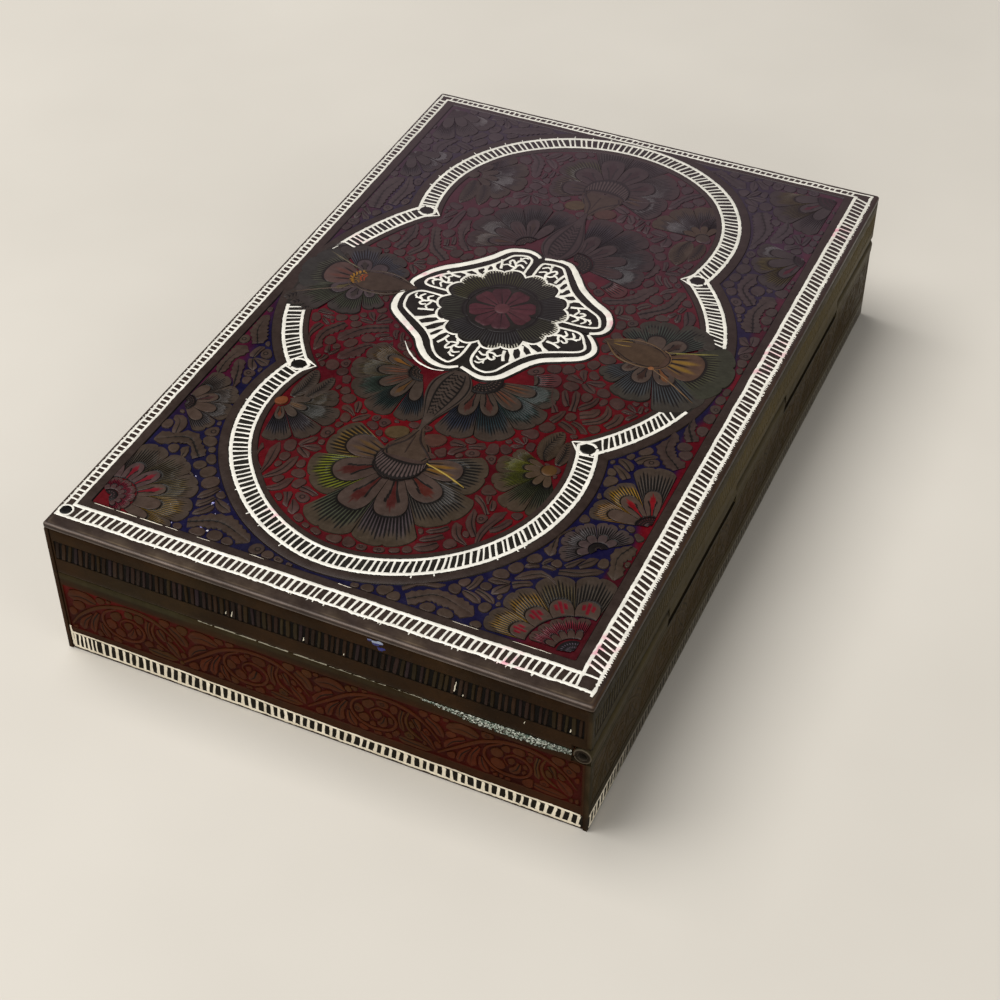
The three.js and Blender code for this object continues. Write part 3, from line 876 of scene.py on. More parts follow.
def rrect(x0, x1, y0, y1, r, nx=66, ny=100, nc=5):
    out = []
    for cx, cy, a0, p, q, n in ((x1 - r, y1 - r, 0, None, None, nx), (x0 + r, y1 - r, 90, None, None, ny),
                                (x0 + r, y0 + r, 180, None, None, nx), (x1 - r, y0 + r, 270, None, None, ny)):
        a = np.radians(a0 + np.linspace(0, 90, nc))
        out.append(np.c_[cx + r * np.cos(a), cy + r * np.sin(a), np.full(nc, n)])
    pts = []
    for i in range(4):
        c, d = out[i], out[(i + 1) % 4]
        pts.append(c[:, :2])
        t = np.linspace(0, 1, int(c[0, 2]))[1:-1, None]
        pts.append(c[-1, :2] * (1 - t) + d[0, :2] * t)
    return np.vstack(pts)


def ground_tint(x, y):
    d = cartouche(x, y)
    red = mixc(np.broadcast_to(RED, np.shape(x) + (3,)), RED_D, 0.5 + 0.5 * wob(x, y, 21, 0.22))
    red = mixc(red, srgb(96, 12, 48), sstep(10, 45, y) * 0.65 + 0.3 * sstep(0, -30, x) * sstep(-35, 0, y))
    red = mixc(red, np.broadcast_to(srgb(58, 10, 20), red.shape), 0.65 * sstep(15, 6, np.hypot(x - FX1, y - FY0)))
    blue = mixc(np.broadcast_to(BLUE, np.shape(x) + (3,)), srgb(22, 18, 56), 0.5 + 0.6 * wob(x, y, 22, 0.3))
    n_ = wob(x, y, 23, 0.4)
    k = 0.95 * sstep(3.0, 1.3, FX1 - x + 0.9 * n_)
    k = np.maximum(k, sstep(14.5, 10.0, np.hypot(x - FX0 - 1, (y - FY0) * 1.1) + 2.0 * n_))
    k = np.maximum(k, sstep(12.5, 8.5, np.hypot(x - FX1, y - FY0) + 1.5 * n_))
    k = np.maximum(k, 0.9 * sstep(17, 7, np.hypot(x - FX1, (y - FY1) * 0.45) + 2.5 * n_))
    k = np.maximum(k, 0.55 * sstep(5.0, 1.2, x - FX0 + 1.5 * n_) * sstep(-50, -20, y))
    k = k * sstep(0.8, 4.0, d)
    out = mixc(blue, red, k)
    # painted reflection haze: towards the rear the ground turns to a pale grey-mauve
    out = mixc(out, np.broadcast_to(srgb(76, 60, 80), out.shape), 0.42 * sstep(5, 60, y))
    red = mixc(red, np.broadcast_to(srgb(84, 42, 52), red.shape), 0.62 * sstep(-8, 45, y))
    return mixc(red, out, sstep(-2.5, -1.0, d))


def motif_tint(x, y):
    d = cartouche(x, y)
    t = mixc(BROWN, MAUVE, 0.5 + 0.5 * wob(x, y, 31, 0.3))
    t = mixc(t, srgb(90, 54, 56), 0.45 * sstep(5, 50, y) * sstep(0, -4, d))
    t = mixc(t, srgb(86, 50, 42), 0.50 * sstep(25, -15, y) * sstep(0, -4, d))
    t = mixc(t, srgb(82, 64, 48), 0.45 * sstep(0, 1, d) * sstep(10, -30, y))
    # painted reflection haze: the motifs turn greyer towards the rear
    t = mixc(t, srgb(66, 60, 66), 0.5 * sstep(0, 1, d) * sstep(20, 60, y))
    t = mixc(t, np.broadcast_to(srgb(84, 70, 78), t.shape), 0.45 * sstep(5, 60, y))
    return t * (1 + 0.10 * wob(x, y, 32, 0.8))


# the sheet with its rounded edge, its plain margin, the sunk ground and the raised rims
plate = Relief()
prof = [(0.34, 28.81), (0.12, 28.84), (0.04, 28.95), (0.03, 29.30), (0.04, 29.55), (0.08, 29.69), (0.16, 29.785), (0.28, 29.84), (0.50, 29.86)]
rows, cols = [], []
for i, (d, z) in enumerate(prof):
    r = rrect(-50 + d, 50 - d, -77 + d, 77 - d, 0.45)
    worn = 0.018 * wob(r[:, 0], r[:, 1], 41, 1.1) * (1 if 2 < i < 8 else 0)
    rows.append(np.c_[r, np.full(len(r), z - Z_GROUND) + worn])
    # the rounded edge: wear, with painted highlight lines along the top rounding and the lower edge, strongest at the
    # front; on the right the edge is warmed by painted light
    wear_and_highlight = np.clip(0.5 + 0.9 * wob(r[:, 0], r[:, 1], 42, 0.7), 0, 1) * {5: 0.5, 6: 1.0, 7: 0.45}.get(i, 0)
    wear_and_highlight = np.maximum(wear_and_highlight, {2: 0.42, 5: 0.25, 6: 0.5}.get(i, 0))
    front, right = sstep(-76.2, -76.8, r[:, 1]), sstep(49.2, 49.7, r[:, 0])
    wear_and_highlight = np.maximum(wear_and_highlight, front * {1: 0.5, 2: 0.9, 3: 0.2, 5: 0.4, 6: 1.0, 7: 0.7, 8: 0.25}.get(i, 0) * (0.75 + 0.3 * wob(r[:, 0], r[:, 1], 43, 0.9)))
    base_tint = np.broadcast_to(MARGIN * (0.7 if i < 4 else 1.0), (len(r), 3))
    worn_and_lit_tint = mixc(np.broadcast_to(srgb(176, 156, 142), (len(r), 3)), srgb(104, 78, 52), right * (1 - 0.3 * front))
    painted_warm_light = np.clip(right * (0.55 + 0.5 * wob(r[:, 0], r[:, 1], 45, 0.5)), 0, 1) * (0.5 if i >= 3 else 0.2)
    cols.append(mixc(mixc(base_tint, srgb(72, 50, 32), painted_warm_light), worn_and_lit_tint, wear_and_highlight * 0.66))
# the flat margin: a paler worn strip and a fine scratched line along the outer edge
for d, lite in ((0.72, 0.30), (0.86, 0.55), (1.0, 0.12), (1.5, 0.10), (2.4, 0.0)):
    r = rrect(-50 + d, 50 - d, -77 + d, 77 - d, 0.45)
    rows.append(np.c_[r, np.full(len(r), H)])
    n_ = np.clip(0.55 + 0.6 * wob(r[:, 0], r[:, 1], 46, 0.8), 0, 1)
    k = sstep(-73.5, -76.0, r[:, 1]) * 0.9 + 0.25
    # painted warm light along the right edge of the margin
    painted_warm_light_margin = sstep(48.0, 49.3, r[:, 0]) * np.clip(0.5 + 0.6 * wob(r[:, 0], r[:, 1], 45, 0.5), 0, 1) * (0.55 if d < 1.2 else 0.2)
    cols.append(mixc(mixc(np.broadcast_to(MARGIN, (len(r), 3)), srgb(156, 134, 108), (lite + 0.12) * n_ * k), srgb(72, 50, 32), painted_warm_light_margin))
# the step down into the field: the edge row is painted a little paler as a highlight, the step wall and its foot dark
# as painted shadow
for d, hh in ((0.5, H), (0.25, H), (0.1, H), (0.0, 0.8 * H), (-0.12, 0.02), (-0.16, -0.03)):
    r = rrect(FX0 - d, FX1 + d, FY0 - d, FY1 + d, 0.35)
    rows.append(np.c_[r, np.full(len(r), hh)])
    cols.append(np.broadcast_to(MARGIN if d > 0.15 else (MARGIN * 1.1 if d > 0.05 else SHADE_AT_FOOT), (len(r), 3)))
plate.grid(np.array(rows), np.array(cols), loop=True)
# underside and ground
gx, gy = np.linspace(-49.7, 49.7, 12), np.linspace(-76.7, 76.7, 18)
U, V = np.meshgrid(gx, gy, indexing="ij")
base = plate.add(np.c_[U.ravel(), V.ravel(), np.full(U.size, 28.81 - Z_GROUND)], srgb(96, 84, 66), 0.6)
ix = np.arange(U.size).reshape(U.shape)
plate.q.append(base + np.stack([ix[:-1, :-1], ix[:-1, 1:], ix[1:, 1:], ix[1:, :-1]], -1).reshape(-1, 4))
gx, gy = np.linspace(FX0 - 0.2, FX1 + 0.2, 150), np.linspace(FY0 - 0.2, FY1 + 0.2, 240)
U, V = np.meshgrid(gx, gy, indexing="ij")
plate.grid(np.stack([U, V, 0.016 * wob(U, V, 44, 3.0, 9)], -1), ground_tint(U, V))
rows, cols = [], []
SLOT = srgb(48, 44, 38)
# the band's raised rims: the bevel painted darker and the foot near-black, as painted shade
for lv, hh, tn in ((RIM_OUT + 0.13, -0.03, SHADE_AT_FOOT), (RIM_OUT, 0.84 * H, MARGIN * 0.8), (RIM_OUT - 0.12, H, MARGIN), (0.25, H, MARGIN), (0.0, H, SLOT),
                   (-BAND / 2, H, SLOT), (-BAND, H, SLOT), (-BAND - 0.2, H, MARGIN), (-BAND - RIM_IN + 0.12, H, MARGIN),
                   (-BAND - RIM_IN, 0.84 * H, MARGIN * 0.8), (-BAND - RIM_IN - 0.13, -0.03, SHADE_AT_FOOT)):
    r = ring(lv)
    rows.append(np.c_[r, np.full(len(r), hh + (0.006 if hh == H else 0))])
    cols.append(np.broadcast_to(tn, (len(r), 3)))
plate.grid(np.array(rows), np.array(cols), loop=True)

# the medallion's plateau
MED = [PP((473.3, 511), (466, 505), (446.7, 499), (426.7, 503), (406, 514), (383.3, 550), (350, 587), (306.7, 626), (283, 668), (279, 688), (287, 698)),
       PP((287, 702), (277.5, 716), (275.5, 735), (277, 752), (284, 774), (303.3, 793), (336.7, 817), (366.7, 840), (383.3, 863), (403.3, 884), (426.7, 897), (453, 899), (473, 888)),
       PP((479, 887), (503.3, 896), (523.3, 901), (541, 896), (557, 883), (570, 860), (586.7, 830), (606.7, 808), (640, 790), (670, 773), (681, 756), (682, 739), (671, 719), (655, 702)),
       PP((655, 697), (673, 687), (680, 672), (678, 653), (669, 634), (656.7, 621), (623.3, 600), (590, 573), (566.7, 543), (543.3, 514), (526.7, 505.5), (503.3, 505), (483.3, 510))]
med_lines = [spline(m, 60) for m in MED]
med_outline = resample(np.vstack([m for m in med_lines] + [med_lines[0][:1]]), 241)[:-1]
tg, nr = frame2(med_outline, True)
grow = med_outline - nr * 0.95      # the outline runs counter-clockwise, so its left normal points inwards
grow = (np.roll(grow, 1, 0) + grow * 2 + np.roll(grow, -1, 0)) / 4
# the plateau's foot is painted near-black as shade
rows = [np.c_[MID + (grow - MID) * 1.006, np.full(240, -0.03)], np.c_[grow, np.full(240, 0.86 * H)]]
cols = [np.broadcast_to(SHADE_AT_FOOT, (240, 3)), np.broadcast_to(SLOT * 0.8, (240, 3))]
for f in (0.992, 0.9, 0.75, 0.55, 0.35, 0.12):
    rows.append(np.c_[MID + (grow - MID) * f, np.full(240, H)])
    cols.append(np.broadcast_to(SLOT * 0.72, (240, 3)))
plate.grid(np.array(rows), np.array(cols), loop=True, cap=True)

# ------------------------------------------------------------ bright cuts
cuts_and_glints = Relief()
LX0, LX1, LY0, LY1 = -49.2, 48.72, -73.95, 76.0          # outer rail
IX0, IX1, IY0, IY1 = -47.5, 45.75, -70.95, 74.65          # inner rail


def seg(a, b, n=None):
    a, b = np.array(a, float), np.array(b, float)
    return resample(np.array([a, b]), n or max(3, int(np.hypot(*(b - a)) / 0.45)))


def wavy(c, amp, seed, f=0.5):
    tg, nr = frame2(c)
    return c + nr * (amp * wob(c[:, 0], c[:, 1], seed, f))[:, None]


for a, b, w, rg in (((IX0 - 0.1, IY0 + 0.05), (IX1 + 0.2, IY0 + 0.05), 0.74, 0.07), ((IX1 - 0.15, IY0 - 0.4), (IX1 - 0.15, IY1 + 0.1), 0.72, 0.06),
                    ((IX1 + 0.2, IY1), (IX0 - 0.1, IY1), 0.50, 0.07), ((IX0, IY1 + 0.1), (IX0, IY0 - 0.2), 0.54, 0.06)):
    stroke(cuts_and_glints, wavy(seg(a, b), 0.07, 51), w, rough=rg, raw=True)
for a, b, w in (((LX0 - 0.2, LY0), (LX1 + 0.1, LY0), 0.62), ((LX1 - 0.15, LY0 - 0.9), (LX1 - 0.15, LY1 + 0.2), 0.62),
                ((LX1 + 0.2, LY1), (LX0 - 0.2, LY1), 0.42), ((LX0 + 0.05, LY1 + 0.2), (LX0 + 0.05, LY0 - 0.2), 0.48)):
    stroke(cuts_and_glints, wavy(seg(a, b), 0.08, 52, 0.9), w, rough=0.12, raw=True)
stroke(cuts_and_glints, seg((IX1 - 0.1, LY0 + 0.2), (IX1 - 0.2, IY0 - 0.2)), 0.5, raw=True)
stroke(cuts_and_glints, seg((IX1 + 0.1, IY0 + 0.05), (LX1 - 0.4, IY0 - 0.05)), 0.42, raw=True)


def ladder(a_in, b_in, out, pitch, w, slant, over):
    """Rungs along an inner rail from a_in to b_in, each running to its outer rail by the vector out."""
    a_in, b_in, out = (np.array(v, float) for v in (a_in, b_in, out))
    d = b_in - a_in
    L = np.hypot(*d)
    n = int(L / pitch)
    t = (np.arange(n) + 0.5 + rng.uniform(-0.1, 0.1, n)) / n
    A = a_in + d * t[:, None]
    sl = slant * (1 + 0.25 * np.sin(t * L * 0.13) + rng.normal(0, 0.12, n))
    u = np.sign(d[np.argmax(np.abs(d))])
    B = A + out + (d / L) * (u * sl / 2)[:, None]
    A = A - (d / L) * (u * sl / 2)[:, None]
    rungs(cuts_and_glints, A, B, w, over=over)


ladder((IX0 + 1.4, IY0), (IX1 - 0.4, IY0), (0, LY0 - IY0), 1.22, 0.52, -0.45, 0.35)
ladder((IX1, IY0 + 0.9), (IX1, IY1 - 0.3), (LX1 - IX1, 0), 1.30, 0.50, -1.15, 0.3)
ladder((IX1 - 0.3, IY1), (IX0 + 0.3, IY1), (0, LY1 - IY1), 1.25, 0.44, 0.25, 0.15)
ladder((IX0, IY1 - 0.3), (IX0, IY0 + 0.6), (LX0 - IX0, 0), 1.25, 0.52, 0.18, 0.15)
# where the graver slipped: short ticks below the lower rail, and fine ones outside the right one
for x in np.r_[rng.uniform(-34, 44, 22), 8.4, 9.6, 11.9, 23.8, 24.9]:
    stroke(cuts_and_glints, seg((x, LY0 - 0.12), (x - rng.uniform(-0.1, 0.15), LY0 - rng.uniform(0.4, 0.8)), 4), rng.uniform(0.18, 0.30), taper=(1, 0.3), raw=True)
for y in np.linspace(-72, 73, 292) + rng.normal(0, 0.07, 292):
    stroke(cuts_and_glints, seg((LX1 + 0.05, y), (LX1 + rng.uniform(0.22, 0.46), y - rng.uniform(0.0, 0.2)), 3), rng.uniform(0.15, 0.24), taper=(1, 0.35), raw=True)
for y in np.linspace(-72, 73, 150) + rng.normal(0, 0.2, 150):
    stroke(cuts_and_glints, seg((LX0 - 0.02, y), (LX0 - rng.uniform(0.18, 0.36), y - rng.uniform(-0.1, 0.1)), 3), rng.uniform(0.15, 0.22), taper=(1, 0.35), raw=True)
# painted highlight: a patchy bright line where the sunk field meets the front margin, made as bright cuts
for x0_, x1_, w_ in ((-44.6, -40.8, 0.14), (-40.3, -36.2, 0.22), (-35.6, -31.2, 0.24), (-30.6, -28.2, 0.12), (-24.5, -22.0, 0.10), (-14.5, -11.8, 0.10), (2.0, 4.4, 0.10), (22.5, 27.0, 0.12), (33.0, 39.5, 0.12)):
    stroke(cuts_and_glints, wavy(seg((x0_, FY0 - 0.24), (x1_, FY0 - 0.24)), 0.03, 53, 1.5), w_, base=H - 0.01, rise=0.035, rough=0.05, taper=(0.4, 0.4), tint=srgb(214, 204, 184), kind=0.8, raw=True)
# dark corner dot, set into the crossing of the rails
DOT = (-48.1, -72.6)
dome(plate, DOT, 1.05, BLACK * 1.2, rise=0.075, n=14)
for f0, f1 in ((0.0, 0.5), (0.5, 1.0)):
    a = np.linspace(f0 * 2 * math.pi, f1 * 2 * math.pi, 14)
    stroke(cuts_and_glints, np.c_[DOT[0] + 1.25 * np.cos(a), DOT[1] + 1.25 * np.sin(a)], 0.40, raw=True)

# the cartouche's rails and rungs, stopping at the two palmettes
for k, lv, w, rg in ((0, -0.42, 0.80, 0.09), (1, -BAND + 0.36, 0.68, 0.06)):
    parts = arcs(lv, (260, 130, 280, 130))
    stroke(cuts_and_glints, parts[0], w, rough=rg, raw=True)
    stroke(cuts_and_glints, parts[2], w, rough=rg, raw=True)
    for j in (1, 3):
        py = (78.86 - parts[j][:, 1]) * 10
        lo_, hi_ = ((612, 848) if k else (676, 848)) if j == 1 else ((640, 846) if k else (655, 838))
        for keep in (py < lo_, py > hi_):
            if keep.sum() > 3:
                stroke(cuts_and_glints, parts[j][keep], w, rough=rg, raw=True)
for k, p, q in (("U", 0, 1), ("L", 1, 2), ("D", 2, 3), ("R", 3, 0)):
    cc = cusps(-BAND / 2)
    line = arc(k, -BAND / 2, cc[p], cc[q], 400)
    L = length(line)
    n = int(L / (1.13 if k == "R" else 1.19))
    t = (np.arange(n) + 0.5 + rng.uniform(-0.12, 0.12, n)) / n
    m = np.c_[np.interp(t, np.linspace(0, 1, 400), line[:, 0]), np.interp(t, np.linspace(0, 1, 400), line[:, 1])]
    c = ARCS[k][0]
    rad = (m - c) / np.hypot(*(m - c).T)[:, None]
    tan = np.c_[-rad[:, 1], rad[:, 0]]
    turn = np.arctan2(rad[:, 1], rad[:, 0])
    around = np.degrees(turn)
    r = reach(k, turn)[:, None]
    lean = np.interp(around, [-180, -160, -125, -95, -62, -45, 0, 30, 60, 120, 150, 180], [8, 2, -12, 6, 18, 25, 24, 16, 10, -8, 0, 8]) + rng.normal(0, 2.5, n)
    sl = (np.tan(np.radians(lean)) * (BAND - 0.7))[:, None]
    A = c + rad * (r - BAND + 0.4) + tan * sl * 0.5
    B = c + rad * (r - 0.4) - tan * sl * 0.5
    py = (78.86 - m[:, 1]) * 10
    far = np.min([np.hypot(*(m - q2).T) for q2 in cc], 0)
    keep = far > 1.7
    if k in "LR":
        keep &= (py < 632) | (py > 846)
    rungs(cuts_and_glints, A[keep], B[keep], 0.48)
    if k == "D":     # the graver ran past the rail here and there
        m2 = keep & (rng.uniform(0, 1, n) < 0.15)
        rungs(cuts_and_glints, (B + rad * 0.1)[m2], (B + rad * (0.6 + 0.55 * rng.uniform(0, 1, n))[:, None] - tan * 0.15)[m2], 0.28)
    if k == "U":
        m2 = keep & (around > 95) & (np.arange(n) % 3 == 0)
        rungs(cuts_and_glints, (B + rad * 0.1)[m2], (B + rad * (0.55 + 0.75 * rng.uniform(0, 1, n))[:, None] - tan * 0.2)[m2], 0.26)
# cusp dots with their white points
for i, q in enumerate(cusps(-BAND / 2)):
    tip, notch = cusps(-BAND)[i], cusps(0)[i]
    inw = (tip - notch) / np.hypot(*(tip - notch))
    tip2 = tip + inw * 0.9
    a = arcs(-BAND + 0.33, (60, 30, 60, 30))
    for ar in a:
        for end in (0, -1):
            if np.hypot(*(ar[end] - cusps(-BAND + 0.33)[i])) < 0.01:
                s = ar[:4] if end == 0 else ar[-4:][::-1]
                stroke(cuts_and_glints, spline(np.vstack([s[::-1][:3], tip2[None]]), 10), 0.62, taper=(1, 0.25), raw=True)
    side = np.array([-inw[1], inw[0]])
    for sgn in (1, -1):
        stroke(cuts_and_glints, [q + side * sgn * 1.3 + inw * 0.9, q + side * sgn * 1.6 - inw * 0.1, q + side * sgn * 1.2 - inw * 1.1], 0.58)
    stroke(cuts_and_glints, [q - inw * 1.5 + side * 1.0, q - inw * 1.75, q - inw * 1.5 - side * 1.0], 0.60)
    dome(plate, q, 1.2, SLOT * 0.45, rise=0.085, n=16)

# medallion: bold outer line, dark line, thin inner line round each quarter, scallops and leaf cells
for i, m in enumerate(med_lines):
    stroke(cuts_and_glints, m, [0.75, 1.3, 1.5, 1.35, 1.45, 1.25, 0.7], rough=0.05, raw=True)
stroke(cuts_and_glints, spline(PP((352, 858), (372, 882), (400, 903), (432, 912), (456, 908)), 30) + np.array([-0.15, -0.25]), 0.34, rough=0.06, taper=(0.3, 0.3), raw=True)
ROS = 11.9


def med_xy(quarter, u, v):
    """Quarter 0 is the upper left; u runs along the horizontal axis and v along the vertical one, both outwards."""
    sx, sy = ((-1, 1), (-1, -1), (1, -1), (1, 1))[quarter]
    return np.array([MID[0] + sx * u, MID[1] + sy * v])


def scallop(a):
    return ROS - 0.15 + 0.95 * np.abs(np.sin(a * 8)) ** 0.6 - 0.75 * (np.abs(np.cos(a * 4)) ** 14)


# thin bright lines between the dark curls in the upright lobe of one quarter, as (u, v), with their widths
VINES = ((((3.35, 12.5), (3.0, 13.5), (3.45, 14.6), (3.1, 15.6), (3.3, 16.4)), (0.5, 0.42, 0.46, 0.36, 0.25)),
         (((3.1, 14.0), (2.45, 14.35), (1.55, 13.75)), (0.42, 0.40, 0.30)),
         (((3.3, 15.2), (2.6, 15.75), (1.65, 15.2)), (0.42, 0.42, 0.28)),
         (((3.2, 15.9), (2.7, 16.7), (2.0, 16.6)), (0.32, 0.36, 0.25)),
         (((3.4, 14.5), (4.2, 15.15), (4.6, 14.6), (4.25, 14.0)), (0.42, 0.42, 0.40, 0.30)),
         (((3.05, 13.3), (3.9, 13.35), (4.7, 13.75), (5.3, 13.2)), (0.40, 0.40, 0.36, 0.30)),
         (((5.3, 12.0), (5.55, 13.2), (6.1, 14.6)), (0.55, 0.46, 0.50)))
for i, m in enumerate(med_lines):
    tg, nr = frame2(m)
    side = 1 if np.dot(nr[30], MID - m[30]) > 0 else -1
    t = np.linspace(0, 1, len(m))[:, None]
    inner = m + nr * side * (1.62 + 0.72 * np.sin(math.pi * t) ** 2)
    loc = np.abs(inner - MID)
    inner = inner[(loc[:, 0] > 1.25) & (loc[:, 1] > 1.25)]
    if abs(inner[0][1] - MID[1]) < abs(inner[0][0] - MID[0]):
        inner = inner[::-1]
    sxy = med_xy(i, 1, 1) - MID
    up0, up1 = MID + sxy * np.array([0.95, ROS + 0.2]), MID + sxy * np.array([1.10, 16.3])
    si1, si0 = MID + sxy * np.array([16.4, 1.10]), MID + sxy * np.array([ROS + 0.2, 0.95])
    line = np.vstack([up0[None], up1[None], inner[2:-2:4], si1[None], si0[None]])
    b = spline(line, 90)
    stroke(cuts_and_glints, b, 0.56, rough=0.035, raw=True)
    pol = np.arctan2(np.abs(b[:, 1] - MID[1]), np.abs(b[:, 0] - MID[0]))
    away = np.hypot(*(b - MID).T)
    order = np.argsort(pol)
    r = np.random.default_rng(300 + i)
    for pts, ws in VINES:
        for swap in (False, True):
            p = np.array(pts)
            p = np.c_[p[:, 0] * 1.12 - 0.15, 12.1 + (p[:, 1] - 12.3) * 1.13]
            p = (p[:, ::-1] if swap else p) + r.normal(0, 0.07, (len(pts), 2))
            stroke(cuts_and_glints, spline(np.array([med_xy(i, *q) for q in p]), 12), np.array(ws) * r.uniform(1.18, 1.36), rough=0.035, raw=True)
    # a row of cells along the rosette
    for deg in (34.0, 43.0, 51.0, 58.5):
        a = math.radians(deg + r.uniform(-0.8, 0.8))
        r0, r1 = scallop(a), float(np.interp(a, pol[order], away[order]))
        d = np.array([math.cos(a), math.sin(a)])
        q = np.array([-d[1], d[0]]) * r.uniform(-0.25, 0.25)
        stroke(cuts_and_glints, np.array([med_xy(i, *(d * x + q * k_)) for x, k_ in ((r0, -1), ((r0 + r1) / 2, 0), (r1, 1))]), [1.35, 0.66, 1.5], rough=0.035, raw=True)
# fine ticks cut into the rosette's edge in places
r = np.random.default_rng(310)
for a0, a1 in ((105, 158), (-28, 14), (-78, -50), (60, 84)):
    for a in np.radians(np.arange(a0, a1, 2.6)):
        k_ = scallop(np.array(a)) - 0.25
        p = np.array([(MID[0] + x * math.cos(a), MID[1] + x * math.sin(a)) for x in (k_, k_ - r.uniform(0.5, 1.1))])
        stroke(cuts_and_glints, resample(p, 3), [0.20, 0.16, 0.08], base=H + 0.09, rise=0.03, rough=0.02, raw=True, tint=srgb(176, 170, 154), kind=0.8)
# scalloped white line round the rosette
a = np.linspace(0, 2 * math.pi, 16 * 12 + 1)
rr = scallop(a)
stroke(cuts_and_glints, np.c_[MID[0] + rr * np.cos(a), MID[1] + rr * np.sin(a)], 0.52, raw=True, rough=0.035)

# ------------------------------------------------------------ the motifs
field, border = Relief(), Relief()
room = Room(FX0, FY0, FX1, FY1)
room.full |= (cartouche(room.X, room.Y) < RIM_OUT + 0.35) & (cartouche(room.X, room.Y) > -BAND - RIM_IN - 0.4)
room.full |= (room.X < FX0 + 0.1) | (room.X > FX1 - 0.1) | (room.Y < FY0 + 0.1) | (room.Y > FY1 - 0.1)
room.stamp(grow, 0.4)


def flower(R, C, petals, sy=1, room_=room, **common):
    for p in petals:
        kw = dict(common)
        kw.update(p)
        a = kw.pop("a") * sy
        petal(R, C, a, kw.pop("half"), kw.pop("r0"), kw.pop("r1"), kw.pop("r2"), room=room_, **kw)


def dull(petals, far):
    """The same petals with their colours greyed, as painted reflection haze for the far end of the lid."""
    if not far:
        return petals
    return [{k: (0.30 * v + 0.70 * srgb(50, 44, 48) if k in ("fringe", "drop", "streak") and v is not None else v) for k, v in p.items()} for p in petals]


